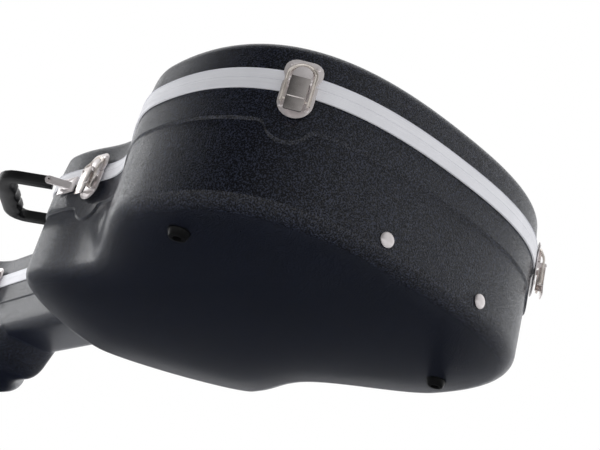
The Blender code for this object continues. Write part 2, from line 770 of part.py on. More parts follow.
def wall_frame(length, side, half, z):
    """Frame on the valance: X along it, -Y outwards, Z up, clear of the wall within half a width."""
    point, normal = casePath.at(length, VALANCE_PROUD, side)
    spots = [casePath.at(length + half * k / 6, VALANCE_PROUD, side)[0] for k in range(-6, 7)]
    point = point + normal * max((spot - point).dot(normal) for spot in spots)
    angle = math.atan2(normal.x, -normal.y)
    return Matrix.Translation((*point, z)) @ Matrix.Rotation(angle, 4, "Z")


UPRIGHT = Matrix.Rotation(math.radians(90), 4, "X")
SIDEWAYS = Matrix.Rotation(math.radians(90), 4, "Y") @ Matrix.Rotation(math.radians(90), 4, "Z")


def upright_plate(name, outlines, thickness, proud):
    """Plate in the wall's plane whose inner face stands off by proud."""
    return plate_mesh(name, outlines, thickness, Matrix.Translation((0, -proud - thickness / 2, 0)) @ UPRIGHT)


def strike_outline():
    """Catch plate: a narrow foot, wide shoulders and a flat top with round corners."""
    corner_x = STRIKE_HALF - STRIKE_CORNER
    corner_z = STRIKE_RISE - STRIKE_CORNER
    near = [(STRIKE_FOOT_HALF, PLATE_SPLIT), (STRIKE_HALF, STRIKE_SHOULDER)]
    near += arc((corner_x, corner_z), STRIKE_CORNER, 0, 90, 5)
    return near + [(-x, z) for x, z in reversed(near)]


def base_outline():
    """Base plate: straight sides and a round lower end."""
    half, top = LATCH_HALF, -PLATE_SPLIT
    return [(-half, top)] + arc((0, half - LATCH_DROP), half, 180, 360, 12) + [(half, top)]


def lever_front():
    """Front view of the lever, whose finger end has round corners."""
    half = LEVER_END_HALF
    corner = LEVER_FLARE_ROUND
    near = [(LEVER_HALF, LEVER_TOP + SEAM_BURY), (LEVER_HALF, LEVER_FLARE_Z)]
    near += arc((half - corner, LEVER_BOTTOM + corner), corner, 0, -90, 4)
    return near + [(-x, z) for x, z in reversed(near)]


def lever_side():
    """Side view of the lever's sheet: outward distance and height, with the cross groove and the flare."""
    face, sheet, groove = LEVER_FACE, LATCH_SHEET, LEVER_GROOVE_WIDTH / 2
    flare = face + LEVER_FLARE
    turn_z = (LEVER_FLARE_Z + LEVER_BOTTOM) / 2
    bend = face + LEVER_FLARE * 0.35
    return [(face, LEVER_TOP), (face, LEVER_GROOVE_Z + groove),
            (face - LEVER_GROOVE_DEPTH, LEVER_GROOVE_Z), (face, LEVER_GROOVE_Z - groove), (face, LEVER_FLARE_Z),
            (bend, turn_z), (flare, LEVER_BOTTOM), (flare - sheet, LEVER_BOTTOM),
            (bend - sheet, turn_z), (face - sheet, LEVER_FLARE_Z), (face - sheet, LEVER_TOP)]


def bail_proud(z):
    """How far the middle of the bail stands off at a height: its crown bends in towards the catch plate."""
    share = min(max((z - BAIL_BEND_LOW) / (BAIL_BEND_HIGH - BAIL_BEND_LOW), 0.0), 1.0)
    share = share * share * (3 - 2 * share)
    return BAIL_PIVOT_PROUD + (BAIL_CATCH_PROUD - BAIL_PIVOT_PROUD) * share


def bail_mesh(name):
    """Grooved strip bent to an arch: two legs beside the lever and a crown above the catch dome."""
    middle = BAIL_HALF - BAIL_STRIP / 2
    crown_z = BAIL_TOP - BAIL_HALF
    foot_z = -BAIL_PIVOT_DROP - BAIL_FOOT
    path = [(Vector((middle, z)), Vector((1.0, 0.0))) for z in (foot_z, BAIL_BEND_LOW)]
    for i in range(10):
        angle = math.radians(180.0 * i / 9)
        outward = Vector((math.cos(angle), math.sin(angle)))
        path.append((Vector((0.0, crown_z)) + outward * middle, outward))
    path += [(Vector((-middle, z)), Vector((-1.0, 0.0))) for z in (BAIL_BEND_LOW, foot_z)]
    half, sheet = BAIL_STRIP / 2, BAIL_SHEET / 2
    section = [(-half, -sheet), (-half, sheet), (-half * 0.45, sheet), (0.0, sheet - BAIL_GROOVE),
               (half * 0.45, sheet), (half, sheet), (half, -sheet)]
    rings = []
    for point, outward in path:
        ring = [(point + outward * across, proud) for across, proud in section]
        rings.append([(p.x, -bail_proud(point.y) - proud, p.y) for p, proud in ring])
    return loft_mesh(name, rings)


def add_rivet(piece, name, x, z, proud, frame):
    """Round rivet head on the face of a plate that stands off by proud."""
    rivet = rod_mesh(name, RIVET_RADIUS, (x, -proud + SEAM_BURY, z), (x, -proud - RIVET_PROUD, z), 12,
                     RIVET_TIP_RADIUS)
    boolean(piece, "UNION", name, rivet, frame)


def build_latch_base(name, root, frame):
    """Plate on the lower valance with two ears that carry the lever's pin."""
    plate_face = SEAT_GAP + LATCH_SHEET
    plate = upright_plate(name + "_base", [base_outline()], LATCH_SHEET, SEAT_GAP)
    base = add_object(name + "_base", plate, "nickel", root, frame)
    pivot = (0, -LEVER_PIVOT_PROUD, -LEVER_PIVOT_DROP)
    ear_in = LEVER_HALF + EAR_GAP
    for label, hand in (("left", -1), ("right", 1)):
        outline = [(-SEAT_GAP - SEAM_BURY, pivot[2] - EAR_RADIUS)]
        outline += arc((pivot[1], pivot[2]), EAR_RADIUS, 270, 90, 8)
        outline += [(-SEAT_GAP - SEAM_BURY, pivot[2] + EAR_RADIUS)]
        ear = plate_mesh(name + "_ear", [outline], EAR_SHEET,
                         Matrix.Translation((hand * (ear_in + EAR_SHEET / 2), 0, 0)) @ SIDEWAYS)
        boolean(base, "UNION", f"{name}_ear_{label}", ear, frame)
        add_rivet(base, f"{name}_base_rivet_{label}", hand * BASE_RIVET_X, BASE_RIVET_Z, plate_face, frame)
    reach = ear_in + EAR_SHEET + CUT_EXTRA
    bore = rod_mesh(name + "_bore", LATCH_PIN_RADIUS + PIN_CLEARANCE, (-reach, pivot[1], pivot[2]),
                    (reach, pivot[1], pivot[2]), 12)
    boolean(base, "DIFFERENCE", name + "_base_bore", bore, frame)
    end = ear_in + EAR_SHEET + PIN_CLEARANCE
    pin = rod_mesh(name + "_pin", LATCH_PIN_RADIUS, (-end, pivot[1], pivot[2]), (end, pivot[1], pivot[2]), 12)
    add_object(name + "_pin", pin, "nickel", root, frame)


def build_lever(name, root, frame):
    """Channel with its sides turned in, a cross groove and a narrower finger end."""
    pivot = Vector((0, -LEVER_PIVOT_PROUD, -LEVER_PIVOT_DROP))
    axis = add_empty(name + "_lever_axis", frame @ Matrix.Translation(pivot), root)
    back = Matrix.Translation(-pivot)
    side = [(-proud, z) for proud, z in lever_side()]
    sheet = plate_mesh(name + "_lever", [side], 2 * LEVER_HALF + CUT_EXTRA, back @ SIDEWAYS)
    lever = add_object(name + "_lever", sheet, "nickel", axis)
    room = LEVER_FACE + LEVER_FLARE + CUT_EXTRA
    front = upright_plate(name + "_front", [lever_front()], room, 0.0)
    front.transform(back)
    boolean(lever, "INTERSECT", name + "_lever_front", front)
    for label, hand in (("left", -1), ("right", 1)):
        low, high = sorted((hand * (LEVER_HALF - LATCH_SHEET), hand * (LEVER_HALF - PIN_CLEARANCE / 2)))
        flange = box_mesh(name + "_flange", (low, -LEVER_FACE + PIN_CLEARANCE / 2, FLANGE_BOTTOM),
                          (high, -LEVER_FACE + LEVER_FLANGE, FLANGE_TOP))
        flange.transform(back)
        boolean(lever, "UNION", f"{name}_flange_{label}", flange)
    reach = LEVER_HALF + CUT_EXTRA
    bore = rod_mesh(name + "_lever_bore", LATCH_PIN_RADIUS + PIN_CLEARANCE, (-reach, 0, 0), (reach, 0, 0), 12)
    boolean(lever, "DIFFERENCE", name + "_lever_bore", bore)
    stub = bail_place(pivot)
    hole = rod_mesh(name + "_stub_bore", BAIL_STUB_RADIUS + PIN_CLEARANCE, (-reach, stub.y, stub.z),
                    (reach, stub.y, stub.z), 12)
    boolean(lever, "DIFFERENCE", name + "_stub_bore", hole)
    return axis, pivot


def bail_place(lever_pivot):
    """Place of the bail's axis, measured from the lever's axis."""
    return Vector((0, -BAIL_PIVOT_PROUD, -BAIL_PIVOT_DROP)) - lever_pivot


def build_bail(name, lever_axis, lever_pivot):
    """Bail on two stubs that turn in the lever's sides."""
    axis = add_empty(name + "_bail_axis", Matrix.Translation(bail_place(lever_pivot)), lever_axis)
    mesh = bail_mesh(name + "_bail")
    mesh.transform(Matrix.Translation((0, BAIL_PIVOT_PROUD, BAIL_PIVOT_DROP)))
    bail = add_object(name + "_bail", mesh, "nickel", axis)
    inner = BAIL_HALF - BAIL_STRIP
    for label, hand in (("left", -1), ("right", 1)):
        stub = rod_mesh(name + "_stub", BAIL_STUB_RADIUS, (hand * (LEVER_HALF - LATCH_SHEET), 0, 0),
                        (hand * (inner + STUB_BURY), 0, 0), 10)
        boolean(bail, "UNION", f"{name}_stub_{label}", stub)


def build_strike(name, lid_axis, on_lid):
    """Catch plate on the lid with the dome that the bail's crown hooks over."""
    plate_face = SEAT_GAP + LATCH_SHEET
    plate = upright_plate(name + "_strike", [strike_outline()], LATCH_SHEET, SEAT_GAP)
    strike = add_object(name + "_strike", plate, "nickel", lid_axis, on_lid)
    outline = [(-DOME_HALF, DOME_BOTTOM), (DOME_HALF, DOME_BOTTOM)]
    outline += arc((0, DOME_TOP - DOME_HALF), DOME_HALF, 0, 180, 9)
    dome = upright_plate(name + "_dome", [outline], DOME_PROUD + SEAM_BURY, plate_face - SEAM_BURY)
    boolean(strike, "UNION", name + "_dome", dome, on_lid)
    for label, hand in (("left", -1), ("right", 1)):
        rivet_x = hand * STRIKE_RIVET_X
        add_rivet(strike, f"{name}_strike_rivet_{label}", rivet_x, STRIKE_RIVET_Z, plate_face, on_lid)


def build_latch(label, x, side, root, lid_axis, lid_frame):
    frame = wall_frame(casePath.length_at_x(x), side, STRIKE_HALF, PARTING_Z + PARTING_GAP / 2)
    name = "latch_" + label
    build_latch_base(name, root, frame)
    lever_axis, lever_pivot = build_lever(name, root, frame)
    build_bail(name, lever_axis, lever_pivot)
    build_strike(name, lid_axis, lid_frame.inverted() @ frame)


# Handle


def handle_frame():
    """Frame on the handle's pins: X along the pins, -Y outwards, Z up."""
    turn = Matrix.Rotation(HANDLE_TURN, 4, "Z")
    wall = casePath.at(casePath.length_at_x(HANDLE_PIVOT_X), VALANCE_PROUD, -1)[0]
    near = Vector((wall.x, wall.y - HANDLE_STANDOFF, HANDLE_PIVOT_Z))
    return Matrix.Translation(near - turn @ Vector((HANDLE_SPAN / 2, 0, 0))) @ turn


def valance_behind(frame, x):
    """Arc length and local depth of the valance straight behind a station along the handle's pins."""
    inverse = frame.inverted()
    low, high = 0.0, casePath.length_at_x(SHOULDER_X)
    for _ in range(40):
        middle = (low + high) / 2
        spot = inverse @ Vector((*casePath.at(middle, VALANCE_PROUD, -1)[0], HANDLE_PIVOT_Z))
        if spot.x > x:
            low = middle
        else:
            high = middle
    return middle, spot.y


def rounded_section(width, depth, corner, steps=2):
    points = []
    for cx, cy, start in ((1, 1, 0), (-1, 1, 90), (-1, -1, 180), (1, -1, 270)):
        points += arc((cx * (width / 2 - corner), cy * (depth / 2 - corner)), corner, start, start + 90, steps)
    return points


def handle_grip_mesh(span):
    """C-shaped moulding: square legs, rounded outer corners and a fuller grip with finger waves."""
    reach = HANDLE_REACH - HANDLE_GRIP_WIDTH / 2
    bend = HANDLE_BEND
    path = [(span, HANDLE_LEG_END), (span, -reach * 0.35)]
    path += arc((span - bend, -reach + bend), bend, 0, -90, 4)
    waves = math.ceil((span - bend) / (HANDLE_FINGER_PITCH / 4))
    path += [((span - bend) * (1 - i / waves), -reach) for i in range(1, waves + 1)]
    path += [(-x, y) for x, y in reversed(path[:-1])]
    rings = []
    for i, (x, y) in enumerate(path):
        ahead = Vector(path[min(i + 1, len(path) - 1)])
        behind = Vector(path[max(i - 1, 0)])
        along = (ahead - behind).normalized()
        across = Vector((-along.y, along.x))
        share = min(max((span - abs(x)) / (span * 0.45), 0.0), 1.0)
        width = HANDLE_LEG_WIDTH + (HANDLE_GRIP_WIDTH - HANDLE_LEG_WIDTH) * share
        depth = HANDLE_LEG_DEPTH + (HANDLE_GRIP_DEPTH - HANDLE_LEG_DEPTH) * share
        wave = HANDLE_FINGER_WAVE * share * math.cos(2 * math.pi * x / HANDLE_FINGER_PITCH)
        ring = []
        corner = HANDLE_LEG_ROUND + (HANDLE_GRIP_ROUND - HANDLE_LEG_ROUND) * share
        for u, v in rounded_section(width, depth, corner):
            inner_side = u * across.y > 0
            point = Vector((x, y)) + across * (u * (1 + 2 * wave / width) if inner_side else u)
            ring.append((point.x, point.y, v))
        rings.append(ring)
    return loft_mesh("handle_grip", rings)


def build_handle(root):
    frame = handle_frame()
    half = HANDLE_SPAN / 2
    span = half - HANDLE_LEG_WIDTH / 2 - HANDLE_EAR - HANDLE_SIDE_GAP
    axis = add_empty("handle_axis", frame @ Matrix.Rotation(HANDLE_DROOP, 4, "X"), root)
    grip = add_object("handle_grip", handle_grip_mesh(span), "plastic", axis)
    smooth_edges(grip.data)
    leg_inner = span - HANDLE_LEG_WIDTH / 2
    for hand in (-1, 1):
        low, high = sorted((hand * (leg_inner - CUT_EXTRA), hand * (half + CUT_EXTRA)))
        bore = rod_mesh("gripbore", HANDLE_PIN_RADIUS + PIN_CLEARANCE, (low, 0, 0), (high, 0, 0), 12)
        boolean(grip, "DIFFERENCE", f"handle_bore_{hand + 1}", bore)
    for label, hand in (("near", 1), ("far", -1)):
        outer_foot, outer_depth = valance_behind(frame, hand * half)
        inner_depth = valance_behind(frame, hand * (half - HANDLE_EAR))[1]
        middle = outer_foot + FLANGE_HALF - FLANGE_LEAD
        place = frame.inverted() @ wall_frame(middle, -1, FLANGE_HALF, (PARTING_Z + VALANCE_BOTTOM_Z) / 2)
        flange = box_mesh("handle_flange", (-FLANGE_HALF, -SEAT_GAP - FLANGE_SHEET, -FLANGE_DROP),
                          (FLANGE_HALF, -SEAT_GAP, FLANGE_RISE))
        flange.transform(place)
        bracket = add_object(f"handle_bracket_{label}", flange, "nickel", root, frame)
        ear_x = hand * (half - HANDLE_EAR / 2)
        root_y = min(outer_depth, inner_depth) - HANDLE_EAR_CLEARANCE
        outline = [(root_y, -HANDLE_EAR_ROOT)]
        outline += [(-p[0], p[1]) for p in arc((0, 0), HANDLE_EAR_RADIUS, -75, 75, 8)]
        outline += [(root_y, HANDLE_EAR_ROOT)]
        ear = plate_mesh("handle_ear", [outline], HANDLE_EAR, Matrix.Translation((ear_x, 0, 0)) @ SIDEWAYS)
        boolean(bracket, "UNION", f"handle_ear_{label}", ear, frame)
        for i, (x, z) in enumerate(FLANGE_RIVETS):
            rivet = rod_mesh("handle_rivet", RIVET_RADIUS, (x, -SEAT_GAP - SEAM_BURY, z),
                             (x, -SEAT_GAP - FLANGE_SHEET - RIVET_PROUD, z), 12, RIVET_TIP_RADIUS)
            rivet.transform(place)
            boolean(bracket, "UNION", f"handle_rivet_{label}_{i}", rivet, frame)
        low, high = ear_x - HANDLE_EAR / 2 - CUT_EXTRA, ear_x + HANDLE_EAR / 2 + CUT_EXTRA
        bore = rod_mesh("earbore", HANDLE_PIN_RADIUS + PIN_CLEARANCE, (low, 0, 0), (high, 0, 0), 12)
        boolean(bracket, "DIFFERENCE", f"handle_ear_bore_{label}", bore, frame)
        outer = hand * (half + HANDLE_PIN_HEAD)
        inner = hand * (leg_inner + HANDLE_PIN_END_GAP)
        pin = rod_mesh("handle_pin", HANDLE_PIN_RADIUS, (inner, 0, 0), (outer, 0, 0), 12)
        add_object(f"handle_pin_{label}", pin, "nickel", root, frame)


# Fittings inside the neck


def build_neck_fittings(root):
    gap = WALL + SEAT_GAP
    floor = NECK_FLOOR_Z + gap + LINING_FLOOR + SEAT_GAP
    half = NECK_HALF - gap - LINING_SIDE - SEAT_GAP - SIDE_CLEARANCE
    corner = NECK_CORNER_RADIUS - BODY_CORNER_RADIUS + HOLLOW_CORNER_RADIUS
    low_half = half - corner
    outline = [(-low_half, floor), (low_half, floor), (half, floor + corner), (half, floor + CRADLE_HEIGHT)]
    notch = floor + CRADLE_HEIGHT + CRADLE_NOTCH_RADIUS * 0.25
    outline += [(x, z) for x, z in arc((0, notch), CRADLE_NOTCH_RADIUS, -14, -166, 8)]
    outline += [(-half, floor + CRADLE_HEIGHT), (-half, floor + corner)]
    across = Matrix.Rotation(math.radians(90), 4, "Z") @ Matrix.Rotation(math.radians(90), 4, "X")
    cradle = plate_mesh("neck_cradle", [outline], CRADLE_LENGTH, Matrix.Translation((CRADLE_X, 0, 0)) @ across)
    add_object("neck_cradle", cradle, "plush", root)

    length = BOX_NEAR_X - BOX_FAR_X
    middle = (BOX_NEAR_X + BOX_FAR_X) / 2
    outer = [(-low_half, floor), (low_half, floor), (half, floor + corner), (half, floor + BOX_HEIGHT),
             (-half, floor + BOX_HEIGHT), (-half, floor + corner)]
    body = plate_mesh("accessory_box", [outer], length, Matrix.Translation((middle, 0, 0)) @ across)
    box = add_object("accessory_box", body, "plush", root)
    inner_half = half - BOX_WALL
    floor_half = low_half - BOX_FLOOR_INSET
    low_z, corner_z, high_z = floor + BOX_WALL, floor + corner + BOX_CORNER_RISE, floor + BOX_HEIGHT + CUT_EXTRA
    hollow = [(-floor_half, low_z), (floor_half, low_z), (inner_half, corner_z), (inner_half, high_z),
              (-inner_half, high_z), (-inner_half, corner_z)]
    cut = plate_mesh("box_hollow", [hollow], length - 2 * BOX_WALL, Matrix.Translation((middle, 0, 0)) @ across)
    boolean(box, "DIFFERENCE", "box_hollow", cut)

    top = floor + BOX_HEIGHT + SEAT_GAP
    pivot_y = half - BOX_LID_RADIUS
    pivot_z = top + BOX_LID_RADIUS
    axis = add_empty("accessory_lid_axis", Matrix.Translation((middle, pivot_y, pivot_z)), root)
    bm_lid = box_mesh("accessory_lid", (-length / 2, -half - pivot_y, -BOX_LID_RADIUS),
                      (length / 2, 0.0, -BOX_LID_RADIUS + BOX_LID))
    lid = add_object("accessory_lid", bm_lid, "plush", axis)
    roll = rod_mesh("lid_roll", BOX_LID_RADIUS, (-length / 2, 0, 0), (length / 2, 0, 0), 12)
    boolean(lid, "UNION", "accessory_lid_roll", roll)
    tab_y = -half - pivot_y + TAB_INSET
    tab_z = -BOX_LID_RADIUS + BOX_LID + SEAT_GAP
    tab = box_mesh("accessory_tab", (-TAB_WIDTH / 2, tab_y, tab_z),
                   (TAB_WIDTH / 2, tab_y + TAB_LENGTH, tab_z + TAB_SHEET))
    add_object("accessory_tab", tab, "plush", axis)


# Assembly


def build_case():
    root = add_empty("case_origin", Matrix.Identity(4))
    low, high, along, normal, standoff = hinge_line()
    middle = (low + high) / 2 + normal * standoff
    lid_frame = Matrix.Translation((middle.x, middle.y, PARTING_Z + PARTING_GAP / 2))
    lid_axis = add_empty("lid_axis", lid_frame, root)
    shell = build_bottom_shell(root)
    smooth_edges(shell.data)
    build_bottom_lining(root)
    to_lid = lid_frame.inverted()
    lid_valance = build_valances(root)
    add_object("lid_valance", lid_valance, "valance", lid_axis, to_lid)
    lid = add_object("lid_shell", lid_shell_mesh(), "shell", lid_axis, to_lid)
    smooth_edges(lid.data)
    add_object("lid_lining", lid_pad_mesh(), "plush", lid_axis, to_lid)
    build_hinge("hinge_lower", low, along, normal, standoff, root, lid_axis, lid_frame)
    build_hinge("hinge_upper", high, along, normal, standoff, root, lid_axis, lid_frame)
    build_feet(root)
    for label, x, side in LATCH_STATIONS:
        build_latch(label, x, side, root, lid_axis, lid_frame)
    build_handle(root)
    build_neck_fittings(root)
    return root


def centre_on_floor(root):
    """Moves the case so that its box is centred on the origin and its feet stand at Z = 0."""
    bpy.context.view_layer.update()
    graph = bpy.context.evaluated_depsgraph_get()
    corners = []
    for piece in caseParts.objects:
        if piece.type == "MESH":
            mesh = piece.evaluated_get(graph).data
            corners += [piece.matrix_world @ vertex.co for vertex in mesh.vertices]
    low = Vector([min(c[i] for c in corners) for i in range(3)])
    high = Vector([max(c[i] for c in corners) for i in range(3)])
    root.location = (-(low.x + high.x) / 2, -(low.y + high.y) / 2, -low.z)
    bpy.context.view_layer.update()


centre_on_floor(build_case())
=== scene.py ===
import bisect
import json
import math

import bmesh
import bpy
from mathutils import Matrix, Vector
from mathutils.geometry import interpolate_bezier


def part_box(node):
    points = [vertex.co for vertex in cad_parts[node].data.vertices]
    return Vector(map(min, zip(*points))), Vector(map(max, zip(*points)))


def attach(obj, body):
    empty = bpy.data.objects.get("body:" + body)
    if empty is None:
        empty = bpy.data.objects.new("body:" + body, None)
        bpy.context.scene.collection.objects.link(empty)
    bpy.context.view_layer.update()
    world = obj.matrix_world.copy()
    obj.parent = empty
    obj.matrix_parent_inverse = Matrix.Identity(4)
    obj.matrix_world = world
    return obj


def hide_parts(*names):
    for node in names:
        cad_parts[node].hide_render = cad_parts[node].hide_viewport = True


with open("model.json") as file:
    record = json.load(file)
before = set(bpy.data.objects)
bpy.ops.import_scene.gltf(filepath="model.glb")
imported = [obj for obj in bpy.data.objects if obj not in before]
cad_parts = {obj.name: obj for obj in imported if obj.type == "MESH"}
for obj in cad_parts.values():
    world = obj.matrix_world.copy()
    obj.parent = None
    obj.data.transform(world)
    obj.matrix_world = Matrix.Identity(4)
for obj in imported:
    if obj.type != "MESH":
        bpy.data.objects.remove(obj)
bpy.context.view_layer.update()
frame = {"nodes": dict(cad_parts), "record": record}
scene = bpy.context.scene


# Shader sockets that take part in plain arithmetic


class Wire:
    def __init__(self, tree, socket):
        self.tree = tree
        self.socket = socket

    def math(self, operation, *values):
        return addNode(self.tree, "ShaderNodeMath", {"operation": operation}, dict(enumerate((self,) + values)))

    def flipped(self, operation, value):
        return addNode(self.tree, "ShaderNodeMath", {"operation": operation}, {0: value, 1: self})

    def __add__(self, value):
        return self.math("ADD", value)

    def __sub__(self, value):
        return self.math("SUBTRACT", value)

    def __mul__(self, value):
        return self.math("MULTIPLY", value)

    def __truediv__(self, value):
        return self.math("DIVIDE", value)

    def __pow__(self, value):
        return self.math("POWER", value)

    def __rsub__(self, value):
        return self.flipped("SUBTRACT", value)

    __radd__ = __add__
    __rmul__ = __mul__

    def between(self, low, high):  # 0 below low, 1 above high, smooth in between
        return addNode(self.tree, "ShaderNodeMapRange", {"interpolation_type": "SMOOTHSTEP", "clamp": True},
                       {"Value": self, "From Min": low, "From Max": high})


def addNode(tree, kind, settings=None, values=None, output=0):
    node = tree.nodes.new(kind)
    for name, value in (settings or {}).items():
        setattr(node, name, value)
    for key, value in (values or {}).items():
        if isinstance(value, Wire):
            tree.links.new(value.socket, node.inputs[key])
        else:
            node.inputs[key].default_value = value
    return Wire(tree, node.outputs[output])


def newMaterial(name, constants):
    material = bpy.data.materials.new(name)
    material.use_nodes = True
    tree = material.node_tree
    shader = tree.nodes["Principled BSDF"]
    for key, value in constants.items():
        shader.inputs[key].default_value = (*value, 1.0) if isinstance(value, tuple) else value
    return material, tree, shader


def feed(tree, wire, socket):
    tree.links.new(wire.socket, socket)


def objectPoint(tree, scale=(1.0, 1.0, 1.0)):
    place = addNode(tree, "ShaderNodeTexCoord", output=3)
    return addNode(tree, "ShaderNodeMapping", {}, {"Vector": place, "Scale": scale})


def noise(tree, point, scale, detail=2.0, roughness=0.5):
    return addNode(tree, "ShaderNodeTexNoise", {}, {"Vector": point, "Scale": scale, "Detail": detail,
                                                    "Roughness": roughness})


def mixColour(tree, share, first, second):
    values = {"Factor": share, 6: first, 7: second}
    for key in (6, 7):
        if isinstance(values[key], tuple):
            values[key] = (*values[key], 1.0)
    return addNode(tree, "ShaderNodeMix", {"data_type": "RGBA"}, values, output=2)


def bumpOf(tree, height, strength, distance):
    return addNode(tree, "ShaderNodeBump", {}, {"Height": height, "Strength": strength, "Distance": distance})


# Finishes

# The bright 'top' shell colour is painted glints: a noise scatters specks of it over the dark plastic tone, standing in
# for highlights caught by the grain
shellFinish = {"top": (0.0250, 0.0300, 0.0500), "darkBetweenGlints": (0.0008, 0.0013, 0.0036), "grain": 760.0, "paintedGlintSpeck": 740.0,
               "depth": 0.0010, "roughness": 0.28, "glint": 880.0}


def makeShellPlastic():
    material, tree, shader = newMaterial("pebbledShellPlastic", {"Specular Tint": (0.88, 0.91, 1.0), "Specular IOR Level": 0.16, "Coat Roughness": 0.17,
                                                  "Coat IOR": 1.72, "Coat Tint": (0.90, 0.93, 1.0)})
    point = objectPoint(tree)
    cloud = noise(tree, point, 14.0, 4.0)
    grain = noise(tree, point, shellFinish["grain"], 2.0, 0.6)
    glint = noise(tree, point, shellFinish["glint"], 1.0).between(0.48, 0.62)
    paintedGlintSpeck = noise(tree, point, shellFinish["paintedGlintSpeck"], 1.0).between(0.50, 0.60)
    # Painted glints: the speck mask mixes the bright top colour into the dark plastic, and the same specks also get
    # more coat
    feed(tree, mixColour(tree, paintedGlintSpeck * (0.55 + cloud * 0.6), shellFinish["darkBetweenGlints"], shellFinish["top"]),
         shader.inputs["Base Color"])
    feed(tree, shellFinish["roughness"] + cloud * 0.03 + (1 - glint) * 0.05, shader.inputs["Roughness"])
    feed(tree, 0.18 + glint * 0.5 + paintedGlintSpeck * 0.15, shader.inputs["Coat Weight"])
    feed(tree, bumpOf(tree, grain, 1.0, shellFinish["depth"]), shader.inputs["Normal"])
    return material


aluminiumFinish = {"bright": (0.90, 0.905, 0.95), "dull": (0.80, 0.805, 0.85)}


def makeSatinAluminium():
    material, tree, shader = newMaterial("satinAluminium", {"Metallic": 0.28})
    along = addNode(tree, "ShaderNodeAttribute", {"attribute_name": "along"}, output=2)
    height = addNode(tree, "ShaderNodeSeparateXYZ", {}, {0: objectPoint(tree)}, output=2)
    drawn = addNode(tree, "ShaderNodeCombineXYZ", {}, {0: along * 9.0, 1: height * 2400.0})
    lines = noise(tree, drawn, 1.0, 3.0, 0.6)
    rub = noise(tree, objectPoint(tree), 28.0, 4.0)
    feed(tree, mixColour(tree, (lines * 0.6 + rub * 0.4).between(0.35, 0.66), aluminiumFinish["bright"],
                         aluminiumFinish["dull"]), shader.inputs["Base Color"])
    feed(tree, 0.40 + lines * 0.16 + rub * 0.05, shader.inputs["Roughness"])
    feed(tree, bumpOf(tree, lines, 0.25, 0.00012), shader.inputs["Normal"])
    return material


# The plate and wire kinds are lighter, part-diffuse copies of the bright nickel. Their lightness is a painted
# reflection on plates and studs and a painted highlight on the bails. Their clean and worn colours are wear.
nickelFinish = {"bright": {"clean": (0.80, 0.745, 0.725), "worn": (0.66, 0.61, 0.59), "roughness": 0.09, "metallic": 1.0},
                "paintedReflectionPlate": {"clean": (0.88, 0.83, 0.835), "worn": (0.76, 0.71, 0.71), "roughness": 0.16, "metallic": 0.55},
                "wire": {"clean": (0.96, 0.89, 0.83), "worn": (0.74, 0.67, 0.61), "roughness": 0.10, "metallic": 0.7}}


def makeNickel(kind):
    look = nickelFinish[kind]
    material, tree, shader = newMaterial(kind + "Nickel", {"Metallic": look["metallic"]})
    point = objectPoint(tree)
    wear = noise(tree, point, 150.0, 4.0)
    feed(tree, mixColour(tree, wear.between(0.4, 0.8), look["clean"], look["worn"]), shader.inputs["Base Color"])
    feed(tree, look["roughness"] + wear * 0.12, shader.inputs["Roughness"])
    feed(tree, bumpOf(tree, noise(tree, point, 420.0, 2.0), 0.08, 0.0001), shader.inputs["Normal"])
    return material


def makeSmoothPlastic():
    material, tree, shader = newMaterial("smoothBlackPlastic", {"Specular IOR Level": 0.4})
    point = objectPoint(tree)
    haze = noise(tree, point, 50.0, 4.0)
    feed(tree, mixColour(tree, haze.between(0.3, 0.8), (0.0055, 0.0058, 0.0065), (0.012, 0.012, 0.013)),
         shader.inputs["Base Color"])
    feed(tree, 0.28 + haze * 0.14, shader.inputs["Roughness"])
    feed(tree, bumpOf(tree, noise(tree, point, 1500.0, 2.0), 0.10, 0.0001), shader.inputs["Normal"])
    return material


def makePlush():
    material, tree, shader = newMaterial("blackPlush", {"Roughness": 0.95, "Sheen Weight": 0.6,
                                                        "Sheen Roughness": 0.4, "Sheen Tint": (0.55, 0.55, 0.60)})
    point = objectPoint(tree)
    nap = noise(tree, point, 1400.0, 3.0, 0.7)
    brushed = noise(tree, point, 22.0, 5.0, 0.6)
    feed(tree, mixColour(tree, brushed.between(0.3, 0.75), (0.016, 0.016, 0.019), (0.050, 0.050, 0.057)),
         shader.inputs["Base Color"])
    feed(tree, bumpOf(tree, nap + brushed * 0.8, 0.8, 0.0012), shader.inputs["Normal"])
    return material


finishes = {
    "shell": makeShellPlastic(),
    "valance": makeSatinAluminium(),
    "nickel": makeNickel("bright"),
    "nickelPaintedReflectionPlate": makeNickel("paintedReflectionPlate"),
    "nickelPaintedHighlightWire": makeNickel("wire"),
    "plastic": makeSmoothPlastic(),
    "plush": makePlush(),
}
slotOf = {entry["node"]: entry["material_slot"] for entry in frame["record"]["subparts"]}
bodyOf = {node: body for body, nodes in frame["record"]["behaviour"]["bodies"].items() for node in nodes}
for name, node in frame["nodes"].items():
    node.data.materials.clear()
    node.data.materials.append(finishes[slotOf[name]])
print("finishes on", len(frame["nodes"]), "nodes")


def addPiece(name, bm, replaced, sharp=35.0):
    # A finished mesh that stands for one CAD node and takes its body and finish
    bmesh.ops.recalc_face_normals(bm, faces=bm.faces[:])
    mesh = bpy.data.meshes.new(name)
    bm.to_mesh(mesh)
    bm.free()
    mesh.shade_smooth()
    mesh.set_sharp_from_angle(angle=math.radians(sharp))
    mesh.materials.append(finishes[slotOf[replaced]])
    piece = bpy.data.objects.new(name, mesh)
    scene.collection.objects.link(piece)
    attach(piece, bodyOf[replaced])
    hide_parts(replaced)
    return piece


# Outline of the case: the same curves as the frame's, finely divided

